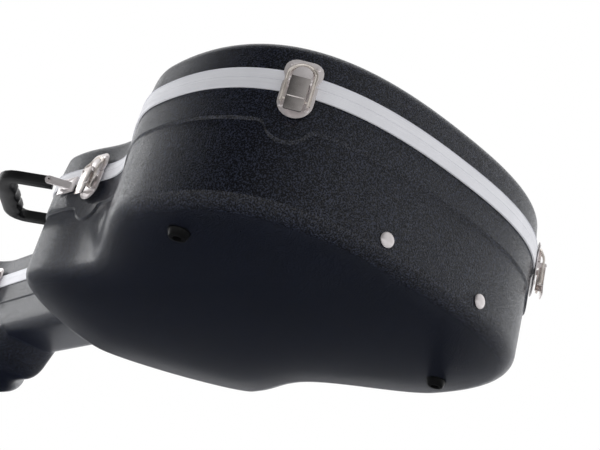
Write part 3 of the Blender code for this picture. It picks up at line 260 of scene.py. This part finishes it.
outline = {
    "tailX": 0.2893, "tailHandle": 0.0963,
    "lower": (0.1117, 0.2171), "lowerTailHandle": 0.1651, "lowerWaistHandle": 0.0508,
    "waist": (-0.0558, 0.1592), "waistTailHandle": 0.0548, "waistNeckHandle": 0.0405,
    "upper": (-0.1622, 0.1734), "upperWaistHandle": 0.0477, "upperNeckHandle": 0.0414,
    "shoulderX": -0.2925, "shoulderHandle": 0.0476,
    "neckHalf": 0.0464, "neckFillet": 0.026, "neckEndX": -0.585, "neckTaper": 0.0010,
    "head": (-0.705, 0.0790), "headEndX": -0.800, "flareNeckHandle": 0.055, "flareHeadHandle": 0.045,
    "headSideHandle": 0.055, "headEndHandle": 0.055,
    "coarseSteps": 47, "fine": 4,
}
valance = {"proud": 0.0051, "wall": 0.0017, "cap": 0.0018, "bottom": 0.1116, "parting": 0.1219, "gap": 0.0004,
           "top": 0.1321, "rebateWall": 0.0016, "rebateHeight": 0.0022, "rebateClearance": 0.0006,
           "edge": 0.0006, "lipRound": 0.00015, "grooveFromParting": 0.0026, "grooveHalf": 0.0005, "grooveDepth": 0.00012}
valanceLow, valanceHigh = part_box("bottom_valance")
origin = Vector((valanceHigh.x - outline["tailX"] - valance["proud"], (valanceLow.y + valanceHigh.y) / 2,
                 valanceLow.z - valance["bottom"]))


def bezierRun(start, startHandle, endHandle, end):
    corners = [Vector((*place, 0.0)) for place in (start, startHandle, endHandle, end)]
    return [point.xy for point in interpolate_bezier(*corners, outline["coarseSteps"] * outline["fine"] + 1)]


def bodyHalf():
    tail = (outline["tailX"], 0.0)
    lower, waist, upper = (outline[key] for key in ("lower", "waist", "upper"))
    run = bezierRun(tail, (tail[0], outline["tailHandle"]), (lower[0] + outline["lowerTailHandle"], lower[1]), lower)
    run += bezierRun(lower, (lower[0] - outline["lowerWaistHandle"], lower[1]),
                     (waist[0] + outline["waistTailHandle"], waist[1]), waist)[1:]
    run += bezierRun(waist, (waist[0] - outline["waistNeckHandle"], waist[1]),
                     (upper[0] + outline["upperWaistHandle"], upper[1]), upper)[1:]
    run += bezierRun(upper, (upper[0] - outline["upperNeckHandle"], upper[1]),
                     (outline["shoulderX"], outline["shoulderHandle"]), (outline["shoulderX"], 0.0))[1:]
    return run


def filletCorner(body):
    # Where the body's outline is left for the neck, on the same coarse step as the frame's
    high = outline["neckHalf"] + outline["neckFillet"]
    return max(i for i in range(0, len(body), outline["fine"]) if body[i].y > high)


def caseHalf():
    body = bodyHalf()
    last = filletCorner(body)
    corner = body[last]
    heading = (body[last + 1] - corner).normalized()
    lead = (corner.y - outline["neckHalf"]) * 0.62
    neckStart = Vector((outline["shoulderX"] - outline["neckFillet"] * 0.7, outline["neckHalf"]))
    neckEnd = Vector((outline["neckEndX"], outline["neckHalf"] + outline["neckTaper"]))
    head = Vector(outline["head"])
    run = body[:last + 1]
    run += bezierRun(corner, corner + heading * lead, neckStart + Vector((lead, 0.0)), neckStart)[1:]
    run += [neckStart.lerp(neckEnd, i / 60) for i in range(1, 61)]
    run += bezierRun(neckEnd, neckEnd - Vector((outline["flareNeckHandle"], 0.0)),
                     head + Vector((outline["flareHeadHandle"], 0.0)), head)[1:]
    run += bezierRun(head, head - Vector((outline["headSideHandle"], 0.0)),
                     (outline["headEndX"], outline["headEndHandle"]), (outline["headEndX"], 0.0))[1:]
    return run


class HalfPath:
    # One half of an outline, read by arc length from the tail, with outward normals
    def __init__(self, points):
        self.points = points
        self.lengths = [0.0]
        for near, far in zip(points, points[1:]):
            self.lengths.append(self.lengths[-1] + (far - near).length)
        self.normals = []
        for i in range(len(points)):
            along = points[min(i + 1, len(points) - 1)] - points[max(i - 1, 0)]
            self.normals.append(Vector((along.y, -along.x)).normalized())
        self.normals[0] = Vector((1.0, 0.0))
        self.normals[-1] = Vector((-1.0, 0.0))

    def at(self, length, offset=0.0):
        i = min(max(bisect.bisect(self.lengths, length) - 1, 0), len(self.points) - 2)
        share = (length - self.lengths[i]) / (self.lengths[i + 1] - self.lengths[i])
        normal = self.normals[i].lerp(self.normals[i + 1], share).normalized()
        return self.points[i].lerp(self.points[i + 1], share) + normal * offset

    def lengthAtX(self, x):
        i = next(i for i in range(len(self.points) - 1) if self.points[i + 1].x <= x)
        near, far = self.points[i].x, self.points[i + 1].x
        return self.lengths[i] + (self.lengths[i + 1] - self.lengths[i]) * (near - x) / (near - far)

    def nearest(self, point):
        # Arc length of the closest spot, and how far the point lies outside it
        i = min(range(len(self.points)), key=lambda k: (self.points[k] - point).length_squared)
        away = point - self.points[i]
        normal = self.normals[i]
        return self.lengths[i] + away.dot(Vector((-normal.y, normal.x))), away.dot(normal)


casePath = HalfPath(caseHalf())
bodyPath = HalfPath(bodyHalf())
joinLength = bodyPath.lengths[filletCorner(bodyPath.points)]
shoulderPath = HalfPath(bodyPath.points[filletCorner(bodyPath.points) - 20:])
shoulderStart = bodyPath.lengths[filletCorner(bodyPath.points) - 20]


def newVertex(bm, point, z, side):
    return bm.verts.new(origin + Vector((point.x, point.y * side, z)))


def addQuads(bm, rows, side=1, closed=False):
    pairs = list(zip(rows, rows[1:]))
    if closed:
        pairs.append((rows[-1], rows[0]))
    for upper, lower in pairs:
        for j in range(len(upper) - 1):
            corners = (upper[j], lower[j], lower[j + 1], upper[j + 1])
            bm.faces.new(corners if side > 0 else corners[::-1])


def joinHalves(bm):
    bmesh.ops.remove_doubles(bm, verts=bm.verts[:], dist=0.000004)
    bmesh.ops.dissolve_degenerate(bm, edges=bm.edges[:], dist=0.000001)


# Moulded tubs: body, neck and headstock as one surface, with the raised band round the rim

tub = {"wall": 0.0030, "draft": 0.0018, "bodyCorner": 0.0160, "neckCorner": 0.0180, "headCorner": 0.0220,
       "neckFloor": 0.0330, "headFloor": -0.0080, "headFrontX": -0.527, "headSlope": 0.70, "headTopRound": 0.0080,
       "seat": 0.0003, "spacing": 0.0040, "cornerSteps": 9, "joinReach": 0.030, "neckMatchX": -0.334}
band = {"edge": 0.0805, "proud": 0.0031, "flank": 0.0030, "tongueRadius": 0.0220, "tongueFillet": 0.0070,
        "tongueBottom": 0.0640, "steps": (-0.0080, -0.0046, -0.0038, -0.0033, -0.0028, -0.0022, -0.0016, -0.0011,
                                          -0.0006, 0.0, 0.0012, 0.0036)}
stations = {"tail_front": (0.2502, -1), "bout_front": (-0.0904, -1), "tail_rear": (0.2391, 1),
            "neck": (-0.610, -1)}


def wallDraft(z):
    return tub["draft"] * max(z - tub["bodyCorner"], 0.0) / (valance["parting"] - tub["bodyCorner"])


def smoothShare(value):
    value = min(max(value, 0.0), 1.0)
    return value * value * (3.0 - 2.0 * value)


def tongueRun():
    # Lower edge of the band across one tongue: distance along, height and the direction away from the band
    radius, fillet = band["tongueRadius"], band["tongueFillet"]
    centreZ = band["tongueBottom"] + radius
    filletZ = band["edge"] - fillet
    filletX = math.sqrt((radius + fillet) ** 2 - (centreZ - filletZ) ** 2)
    lean = math.atan2(centreZ - filletZ, filletX)
    run = []
    for i in range(23):
        angle = -math.pi / 2 + (math.pi / 2 - lean) * i / 22
        run.append((radius * math.cos(angle), centreZ + radius * math.sin(angle), math.cos(angle), math.sin(angle)))
    for i in range(1, 10):
        angle = math.pi - lean + (lean - math.pi / 2) * i / 9
        run.append((filletX + fillet * math.cos(angle), filletZ + fillet * math.sin(angle), -math.cos(angle),
                    -math.sin(angle)))
    return [(-x, z, -across, up) for x, z, across, up in reversed(run[1:])] + run


def bandColumns(side):
    # Columns round one half: arc length, and the band's lower edge there with its outward direction
    run = tongueRun()
    last = casePath.lengths[-1]
    count = round(last / tub["spacing"])
    marks = [last * i / count for i in range(count + 1)]
    marks = [s for s in marks if abs(s - joinLength) > 0.0015] + [joinLength]
    columns = [(s, band["edge"], 0.0, -1.0) for s in marks]
    for x, stationSide in stations.values():
        if stationSide == side:
            middle = casePath.lengthAtX(x)
            columns = [column for column in columns if abs(column[0] - middle) > run[-1][0] + 0.003]
            columns += [(middle + along, z, across, up) for along, z, across, up in run]
    return sorted(columns)


def plainColumns(spacing):
    last = casePath.lengths[-1]
    count = round(last / spacing)
    marks = [last * i / count for i in range(count + 1)]
    marks = sorted([s for s in marks if abs(s - joinLength) > 0.0015] + [joinLength])
    return [(s, band["edge"], 0.0, -1.0) for s in marks]


def bandRows(columns, rimZ, splitZ):
    # Outer wall from the rim down to the split: the band's face, its soft flank and the plain wall
    rows = []
    for share in (0.0, 0.5):
        rows.append([(s + across * band["steps"][0] * share,
                      rimZ + (edge + up * band["steps"][0] - rimZ) * share, band["proud"])
                     for s, edge, across, up in columns])
    for away in band["steps"]:
        row = []
        for s, edge, across, up in columns:
            z = edge + up * away
            raised = smoothShare(-away / band["flank"])
            row.append((s + across * away, z, wallDraft(z) + (band["proud"] - wallDraft(z)) * raised))
        rows.append(row)
    away = band["steps"][-1]
    for share in (0.33, 0.67):
        row = []
        for s, edge, across, up in columns:
            z = (edge + up * away) * (1 - share) + splitZ * share
            row.append((s + across * away * (1 - share), z, wallDraft(z)))
        rows.append(row)
    return rows


def plainRows(columns, heights, inset):
    return [[(column[0], z, wallDraft(z) - inset) for column in columns] for z in heights]


def neckFloor(x, form):
    # Floor height along the neck: level, down the headstock's sloping front with round ends, level again
    high = tub["neckFloor"] + form["lift"]
    low = tub["headFloor"] + form["lift"]
    steep = math.atan(1.0 / tub["headSlope"])
    front = tub["headFrontX"] + form["lift"] * tub["headSlope"] - form["inset"]
    foot = front - (high - low) * tub["headSlope"]
    topRound, lowRound = tub["headTopRound"], tub["headCorner"] - form["cornerCut"]
    lead, trail = (rounded * math.tan(steep / 2) for rounded in (topRound, lowRound))
    if x >= front + lead:
        return high
    if x >= front - lead * math.cos(steep):
        return high - topRound + math.sqrt(topRound ** 2 - (x - front - lead) ** 2)
    if x >= foot + trail * math.cos(steep):
        return high - (front - x) / tub["headSlope"]
    if x >= foot - trail:
        return low + lowRound - math.sqrt(lowRound ** 2 - (x - foot + trail) ** 2)
    return low


def neckCorner(x, form):
    high = tub["neckFloor"] + form["lift"]
    share = (high - neckFloor(x, form)) / (tub["neckFloor"] - tub["headFloor"])
    return tub["neckCorner"] + (tub["headCorner"] - tub["neckCorner"]) * share - form["cornerCut"]


def findJoin(neckOffset, bodyOffset):
    # Arc lengths on case and body where the neck's wall comes out of the body's at one height
    low, high = joinLength, joinLength
    while shoulderPath.nearest(casePath.at(high, neckOffset))[1] < bodyOffset:
        low, high = high, high + 0.003
    for _ in range(14):
        middle = (low + high) / 2
        if shoulderPath.nearest(casePath.at(middle, neckOffset))[1] < bodyOffset:
            low = middle
        else:
            high = middle
    return high, shoulderStart + shoulderPath.nearest(casePath.at(high, neckOffset))[0]


def cornerRows(columns, form):
    # Rows from the height where the neck's corner starts down to the neck's floor
    lengths = [column[0] for column in columns]
    neckZ = tub["neckFloor"] + form["lift"]
    corner = tub["neckCorner"] - form["cornerCut"]
    fixed = joinLength - tub["joinReach"]
    match = casePath.lengthAtX(tub["neckMatchX"])
    rows = []
    for k in range(tub["cornerSteps"] + 1):
        angle = math.pi / 2 * (1 - k / tub["cornerSteps"])
        inward, rise = 1 - math.sin(angle), 1 - math.cos(angle)
        z = neckZ + corner * rise
        bodyOffset = wallDraft(z) - form["inset"]
        caseJoin, bodyJoin = findJoin(bodyOffset - corner * inward, bodyOffset)
        row = []
        for s in lengths:
            if s <= fixed:
                row.append((*casePath.at(s, bodyOffset), z))
            elif s <= joinLength:
                share = (s - fixed) / (joinLength - fixed)
                row.append((*bodyPath.at(fixed + (bodyJoin - fixed) * share, bodyOffset), z))
            else:
                moved = s
                if s < match:
                    moved = match - (match - s) * (match - caseJoin) / (match - joinLength)
                radius = neckCorner(casePath.at(moved).x, form)
                place = casePath.at(moved, bodyOffset - radius * inward)
                row.append((*place, neckFloor(place.x, form) + radius * rise))
        if k:
            softenJoin(row, lengths.index(joinLength))
        rows.append(row)
    return rows, bodyJoin


def softenJoin(row, middle, reach=7, passes=10):
    # Rounds the inside corner between body and neck
    for _ in range(passes):
        before = list(row)
        for j in range(middle - reach, middle + reach + 1):
            weight = 0.5 * (1 - abs(j - middle) / (reach + 1))
            mean = [(before[j - 1][axis] + before[j + 1][axis]) / 2 for axis in range(3)]
            row[j] = tuple(before[j][axis] * (1 - weight) + mean[axis] * weight for axis in range(3))


def bodyFloorRows(columns, form, bodyJoin):
    # Rows of the body alone, from the neck's floor height down round its own corner
    lengths = [column[0] for column in columns if column[0] <= joinLength]
    fixed = joinLength - tub["joinReach"]
    moved = [s if s <= fixed else fixed + (s - fixed) * (bodyJoin - fixed) / (joinLength - fixed) for s in lengths]
    end = bodyPath.lengths[-1]
    moved += [bodyJoin + (end - bodyJoin) * i / 9 for i in range(1, 10)]
    corner = tub["bodyCorner"] - form["cornerCut"]
    neckZ = tub["neckFloor"] + form["lift"]
    levels = [(wallDraft(neckZ) - form["inset"], neckZ)]
    for k in range(tub["cornerSteps"] + 1):
        angle = math.pi / 2 * (1 - k / tub["cornerSteps"])
        z = form["lift"] + corner * (1 - math.cos(angle))
        levels.append((wallDraft(z) - form["inset"] - corner * (1 - math.sin(angle)), z))
    return [[(*bodyPath.at(s, offset), z) for s in moved] for offset, z in levels], len(lengths)


def addHalfTub(bm, side, columns, form, upperRows):
    # One half of a tub's surface; gives back its top row of vertices
    def vertices(row):
        return [newVertex(bm, Vector(point[:2]), point[2], side) for point in row]

    rows = [vertices([(*casePath.at(s, offset), z) for s, z, offset in row]) for row in upperRows]
    corners, bodyJoin = cornerRows(columns, form)
    rows += [vertices(row) for row in corners]
    addQuads(bm, rows, side)
    bottom = rows[-1]
    join = [column[0] for column in columns].index(joinLength)
    levels, shared = bodyFloorRows(columns, form, bodyJoin)
    floor = [bottom[:shared] + vertices(levels[0][shared:])] + [vertices(row) for row in levels[1:]]
    addQuads(bm, floor, side)
    tailCentre, shoulderCentre = floor[-1][0], floor[-1][-1]
    bm.faces.new(floor[-1] if tailCentre is not shoulderCentre else floor[-1][:-1])
    match = next(j for j, column in enumerate(columns) if column[0] >= casePath.lengthAtX(tub["neckMatchX"]))
    lowX = tub["headFrontX"] - (tub["neckFloor"] - tub["headFloor"]) * tub["headSlope"] - form["inset"] - 0.03
    level = next(j for j in range(match, len(bottom)) if corners[-1][j][0] < lowX)
    strips = []
    for j in range(match, level + 1):
        x, y, z = corners[-1][j]
        strips.append([bottom[j]] + vertices([(x, y * share, z) for share in (0.75, 0.5, 0.25, 0.0)]))
    addQuads(bm, strips, -side)
    bm.faces.new(floor[0][shared - 1:] + strips[0][::-1] + bottom[join + 1:match][::-1])
    bm.faces.new(strips[-1] + bottom[level + 1:][::-1])
    return rows[0]


def addTubPair(bm, side, columns, outerForm, outerRows, innerForm, innerRows):
    outer = addHalfTub(bm, side, columns, outerForm, outerRows)
    inner = addHalfTub(bm, side, columns, innerForm, innerRows)
    addQuads(bm, [outer, inner], side)


def tubForm(inset, lift, cornerCut):
    return {"inset": inset, "lift": lift, "cornerCut": cornerCut}


def splitHeight(form):
    return tub["neckFloor"] + form["lift"] + tub["neckCorner"] - form["cornerCut"]


def makeBottomShell():
    rimZ = valance["parting"] - valance["cap"] - tub["seat"]
    outerForm = tubForm(0.0, 0.0, 0.0)
    innerForm = tubForm(tub["wall"], tub["wall"], tub["wall"])
    bm = bmesh.new()
    for side in (1, -1):
        columns = bandColumns(side)
        outerRows = bandRows(columns, rimZ, splitHeight(outerForm))
        innerRows = plainRows(columns, (rimZ, 0.09), tub["wall"])
        addTubPair(bm, side, columns, outerForm, outerRows, innerForm, innerRows)
    joinHalves(bm)
    return addPiece("mouldedBottomShell", bm, "bottom_shell", 40.0)


lining = {"side": 0.0125, "floor": 0.0100, "topDrop": 0.0040, "hollowCorner": 0.0030, "edgeRound": 0.0050,
          "spacing": 0.0060}


def makeBottomLining():
    gap = tub["wall"] + tub["seat"]
    top = valance["parting"] - lining["topDrop"]
    outerForm = tubForm(gap, gap, gap)
    deep = gap + lining["side"]
    innerForm = tubForm(deep, gap + lining["floor"], tub["bodyCorner"] - lining["hollowCorner"])
    rounded = lining["edgeRound"]
    bm = bmesh.new()
    for side in (1, -1):
        columns = plainColumns(lining["spacing"])
        outerRows = plainRows(columns, (top - 0.001,), gap)
        edge = []
        for angle in (90, 60, 30, 0):
            z = top - rounded * (1 - math.sin(math.radians(angle)))
            inset = deep - rounded * (1 - math.cos(math.radians(angle)))
            edge.append([(column[0], z, wallDraft(z) - inset) for column in columns])
        addTubPair(bm, side, columns, outerForm, outerRows, innerForm, edge)
    joinHalves(bm)
    piece = addPiece("plushBottomLining", bm, "bottom_lining", 60.0)
    return piece


makeBottomShell()
print("bottom shell moulded")
makeBottomLining()
print("bottom lining padded")


# Lid and the two aluminium valances


def addHalfLoft(bm, side, columns, levels, closed=False):
    rows = []
    for offset, z in levels:
        rows.append([newVertex(bm, casePath.at(column[0], offset), z, side) for column in columns])
    addQuads(bm, rows, side, closed)
    if not closed:
        bm.faces.new(rows[0])
        bm.faces.new(rows[-1])


def sweptPiece(name, levels, replaced, closed, spacing, sharp=35.0):
    bm = bmesh.new()
    columns = plainColumns(spacing)
    for side in (1, -1):
        addHalfLoft(bm, side, columns, levels, closed)
    joinHalves(bm)
    return addPiece(name, bm, replaced, sharp)


lid = {"top": 0.1675, "wall": 0.0027, "corner": 0.0140, "draft": 0.0015, "pad": 0.0100, "padInset": 0.0060,
       "padCorner": 0.0050}


def quarter(steps):
    for k in range(steps + 1):
        angle = math.radians(90.0 * k / steps)
        yield 1 - math.sin(angle), 1 - math.cos(angle)


def makeLidShell():
    low = valance["parting"] + valance["gap"] + valance["cap"] + tub["seat"]
    outer, inner = band["proud"], band["proud"] - lid["wall"]
    levels = [(outer - lid["draft"] - lid["corner"] * inward, lid["top"] - lid["corner"] * drop)
              for inward, drop in quarter(12)]
    levels += [(outer - lid["draft"] * 0.4, valance["top"] + 0.010), (outer, valance["top"]), (outer, low),
               (inner, low), (inner, valance["top"])]
    bend = lid["corner"] - lid["wall"]
    levels += [(inner - lid["draft"] - bend * inward, lid["top"] - lid["wall"] - bend * drop)
               for inward, drop in reversed(list(quarter(5)))]
    return sweptPiece("mouldedLidShell", levels, "lid_shell", False, tub["spacing"], 40.0)


def makeLidLining():
    top = lid["top"] - lid["wall"] - tub["seat"]
    side = band["proud"] - lid["wall"] - lid["draft"] - lid["padInset"]
    levels = [(side - lid["corner"], top), (side - lid["padCorner"], top - lid["padCorner"])]
    bottom = top - lid["pad"]
    levels += [(side - lid["padCorner"] - 0.004 * inward, bottom + 0.004 * rise)
               for inward, rise in reversed(list(quarter(5)))]
    piece = sweptPiece("plushLidLining", levels, "lid_lining", False, lining["spacing"], 60.0)
    return piece


def valanceFace(edgeZ, partingZ, up):
    # Outer face from the far edge to the parting: round edges and one drawn groove
    face = valance["proud"]
    edge, half = valance["edge"], valance["grooveHalf"]
    groove = partingZ - up * valance["grooveFromParting"]
    run = [(face - edge * inward, edgeZ + up * edge * rise) for inward, rise in reversed(list(quarter(3)))]
    run += [(face, groove - up * half), (face - valance["grooveDepth"], groove - up * half * 0.3),
            (face - valance["grooveDepth"], groove + up * half * 0.3), (face, groove + up * half)]
    lip = valance["lipRound"]
    run += [(face - lip * inward, partingZ - up * lip * rise) for inward, rise in
            [(0.0, 1.0), (0.3, 0.3), (1.0, 0.0)]]
    return run


def markAlong(piece):
    # Arc length at each vertex, so that the drawn lines run with the section
    mesh = piece.data
    values = []
    for vertex in mesh.vertices:
        place = vertex.co - origin
        values.append(casePath.nearest(Vector((place.x, abs(place.y))))[0])
    mesh.attributes.new("along", "FLOAT", "POINT").data.foreach_set("value", values)


def makeValances():
    web = valance["proud"] - valance["wall"]
    parting, gap = valance["parting"], valance["gap"]
    inner = wallDraft(parting) - tub["wall"]
    lip = inner + valance["rebateWall"]
    lower = [(web, valance["bottom"])] + valanceFace(valance["bottom"], parting, 1)
    lower += [(lip, parting), (lip, parting + valance["rebateHeight"] - 0.0003),
              (lip - 0.0003, parting + valance["rebateHeight"]), (inner + 0.0003, parting + valance["rebateHeight"]),
              (inner, parting + valance["rebateHeight"] - 0.0003), (inner, parting - valance["cap"]),
              (web, parting - valance["cap"])]
    markAlong(sweptPiece("drawnBottomValance", lower, "bottom_valance", True, tub["spacing"], 30.0))
    seat = parting + gap * 0.5
    inboard = lip + valance["rebateClearance"]
    upper = [(web, valance["top"])] + valanceFace(valance["top"], seat, -1)
    upper += [(inboard, seat), (inboard, seat + valance["cap"]), (web, seat + valance["cap"])]
    markAlong(sweptPiece("drawnLidValance", upper, "lid_valance", True, tub["spacing"], 30.0))


makeLidShell()
makeLidLining()
makeValances()
print("lid and valances swept")


# Small metal and plastic parts: the frame's solids with their edges broken

roundings = {"nickel": 0.00030, "plastic": 0.0006, "plush": 0.0012}


def finishedCopy(nodeName, width):
    source = frame["nodes"][nodeName]
    bm = bmesh.new()
    bm.from_mesh(source.data)
    bmesh.ops.remove_doubles(bm, verts=bm.verts[:], dist=0.000005)
    bmesh.ops.dissolve_limit(bm, angle_limit=math.radians(1.0), verts=bm.verts[:], edges=bm.edges[:])
    edges = [edge for edge in bm.edges if len(edge.link_faces) == 2
             and edge.calc_face_angle(0.0) > math.radians(32) and edge.calc_length() > 0.0002]
    bmesh.ops.bevel(bm, geom=edges, offset=width, offset_type="OFFSET", segments=2, profile=0.5, affect="EDGES",
                    clamp_overlap=True)
    piece = addPiece(nodeName + "_finished", bm, nodeName, 50.0)
    return piece


# Strikes, bases, brackets and studs take the nickel lightened as a painted reflection, and bails take the nickel
# lightened as a painted highlight
nickelOf = {"_base": "nickelPaintedReflectionPlate", "_strike": "nickelPaintedReflectionPlate", "_bail": "nickelPaintedHighlightWire", "bracket": "nickelPaintedReflectionPlate", "stud": "nickelPaintedReflectionPlate"}
made = {"bottom_shell", "lid_shell", "bottom_valance", "lid_valance", "bottom_lining", "lid_lining"}
for nodeName in sorted(frame["nodes"]):
    if nodeName not in made:
        piece = finishedCopy(nodeName, roundings[slotOf[nodeName]])
        if slotOf[nodeName] == "nickel":
            kind = next((kind for part, kind in nickelOf.items() if part in nodeName), "nickel")
            piece.data.materials[0] = finishes[kind]
print("small parts finished")


# Studio: white all round, a pale floor, one dark flag and large soft lamps

studio = {"floorHalf": 6.0, "floorColour": (0.86, 0.86, 0.87), "floorDrop": 0.0005, "fill": 0.70,
          "cardRadius": 2.4, "cardLow": -12.0, "cardHigh": 72.0,
          "cardGreys": ((-134, 0.90), (-120, 0.30), (-104, 0.06), (-58, 0.03), (-28, 0.26), (-6, 0.50), (30, 0.60),
                        (60, 0.90))}


def stagePlane(name, half, material):
    bm = bmesh.new()
    bmesh.ops.create_grid(bm, x_segments=1, y_segments=1, size=half)
    mesh = bpy.data.meshes.new(name)
    bm.to_mesh(mesh)
    bm.free()
    mesh.materials.append(material)
    plane = bpy.data.objects.new(name, mesh)
    scene.collection.objects.link(plane)
    return plane


def makeFloor():
    # Clear from below, because the photo looks at the back of the case
    material, tree, shader = newMaterial("paleFloor", {"Base Color": studio["floorColour"], "Roughness": 0.9})
    below = addNode(tree, "ShaderNodeNewGeometry", output=6)
    clear = addNode(tree, "ShaderNodeBsdfTransparent")
    mixed = tree.nodes.new("ShaderNodeMixShader")
    feed(tree, below, mixed.inputs[0])
    tree.links.new(shader.outputs[0], mixed.inputs[1])
    feed(tree, clear, mixed.inputs[2])
    tree.links.new(mixed.outputs[0], tree.nodes["Material Output"].inputs["Surface"])
    floor = stagePlane("studioFloor", studio["floorHalf"], material)
    floor.location.z = -studio["floorDrop"]
    floor.visible_diffuse = False
    floor.visible_shadow = False
    floor.visible_transmission = False


def makeCard():
    # Curved card round the front, dark in its middle, which only the shell and the metal mirror
    material, tree, shader = newMaterial("greyCard", {"Roughness": 1.0})
    grey = addNode(tree, "ShaderNodeAttribute", {"attribute_name": "grey"}, output=2)
    feed(tree, mixColour(tree, grey, (0.0, 0.0, 0.0), (1.0, 1.0, 1.0)), shader.inputs["Base Color"])
    low, high = math.radians(studio["cardLow"]), math.radians(studio["cardHigh"])
    greys = studio["cardGreys"]
    turns = range(greys[0][0], greys[-1][0] + 1, 2)
    bm = bmesh.new()
    rows = [[bm.verts.new(studio["cardRadius"] * Vector((math.cos(math.radians(turn)) * math.cos(lift),
                                                         math.sin(math.radians(turn)) * math.cos(lift),
                                                         math.sin(lift)))) for turn in turns] for lift in (high, low)]
    addQuads(bm, rows)
    mesh = bpy.data.meshes.new("studioCard")
    bm.to_mesh(mesh)
    bm.free()
    values = []
    for vertex in mesh.vertices:
        turn = math.degrees(math.atan2(vertex.co.y, vertex.co.x))
        near, far = next((pair for pair in zip(greys, greys[1:]) if turn <= pair[1][0] + 0.01))
        values.append(near[1] + (far[1] - near[1]) * (turn - near[0]) / (far[0] - near[0]))
    mesh.attributes.new("grey", "FLOAT", "POINT").data.foreach_set("value", values)
    mesh.materials.append(material)
    card = bpy.data.objects.new("studioCard", mesh)
    scene.collection.objects.link(card)
    card.visible_camera = False
    card.visible_diffuse = False
    card.visible_shadow = False


def makeSurround():
    world = bpy.data.worlds.new("studioSurround")
    scene.world = world
    world.use_nodes = True
    tree = world.node_tree
    fill = tree.nodes["Background"]
    fill.inputs["Color"].default_value = (1.0, 1.0, 1.0, 1.0)
    fill.inputs["Strength"].default_value = studio["fill"]
    white = tree.nodes.new("ShaderNodeBackground")
    white.inputs["Color"].default_value = (1.0, 1.0, 1.0, 1.0)
    white.inputs["Strength"].default_value = 1.0
    path = tree.nodes.new("ShaderNodeLightPath")
    seen = Wire(tree, path.outputs["Is Camera Ray"]) + Wire(tree, path.outputs["Is Glossy Ray"])
    seen = (seen + Wire(tree, path.outputs["Is Transmission Ray"])).math("MINIMUM", 1.0)
    mixed = tree.nodes.new("ShaderNodeMixShader")
    feed(tree, seen, mixed.inputs[0])
    tree.links.new(fill.outputs[0], mixed.inputs[1])
    tree.links.new(white.outputs[0], mixed.inputs[2])
    tree.links.new(mixed.outputs[0], tree.nodes["World Output"].inputs["Surface"])


lamps = {
    "rightSoftbox": {"direction": (0.80, 0.55, 0.30), "distance": 2.4, "size": 1.6, "radiance": 1.2, "mirrored": False},
    "leftSoftbox": {"direction": (-0.85, -0.50, 0.20), "distance": 2.4, "size": 1.8, "radiance": 1.2, "mirrored": True},
    "topSoftbox": {"direction": (-0.10, 0.15, 1.0), "distance": 2.4, "size": 2.0, "radiance": 1.4, "mirrored": False},
    "lowSoftbox": {"direction": (-0.35, -0.10, -1.0), "distance": 2.4, "size": 1.6, "radiance": 4.0, "mirrored": False},
}


def makeLamps():
    for name, lamp in lamps.items():
        data = bpy.data.lights.new(name, "AREA")
        data.shape = "DISK"
        data.size = lamp["size"]
        data.energy = lamp["radiance"] * math.pi ** 2 * (lamp["size"] / 2) ** 2
        holder = bpy.data.objects.new(name, data)
        scene.collection.objects.link(holder)
        place = Vector(lamp["direction"]).normalized() * lamp["distance"]
        holder.location = place
        holder.rotation_euler = (-place).to_track_quat("-Z", "Y").to_euler()
        holder.visible_glossy = lamp["mirrored"]


# Camera solved from the photo: place and view directions in the part's frame

camera = {
    "place": (0.83843, -0.53155, -0.33010),
    "right": (0.640616, 0.726215, 0.249446),
    "down": (-0.183168, 0.460000, -0.868818),
    "forward": (-0.745695, 0.510888, 0.427706),
    "focalPixels": 970.35,
    "centre": (294.81, 223.71),
}


def makeCamera():
    data = bpy.data.cameras.new("photoCamera")
    data.sensor_width = 36.0
    data.lens = camera["focalPixels"] / 600 * data.sensor_width
    data.shift_x = (300 - camera["centre"][0]) / 600
    data.shift_y = -(225 - camera["centre"][1]) / 600
    data.clip_start = 0.01
    holder = bpy.data.objects.new("photoCamera", data)
    scene.collection.objects.link(holder)
    right, down, forward = (Vector(camera[key]) for key in ("right", "down", "forward"))
    turn = Matrix((right, -down, -forward)).transposed().to_4x4()
    holder.matrix_world = Matrix.Translation(Vector(camera["place"]) + origin) @ turn
    scene.camera = holder


makeFloor()
makeCard()
makeSurround()
makeLamps()
makeCamera()
scene.view_settings.view_transform = "Standard"
print("studio ready")
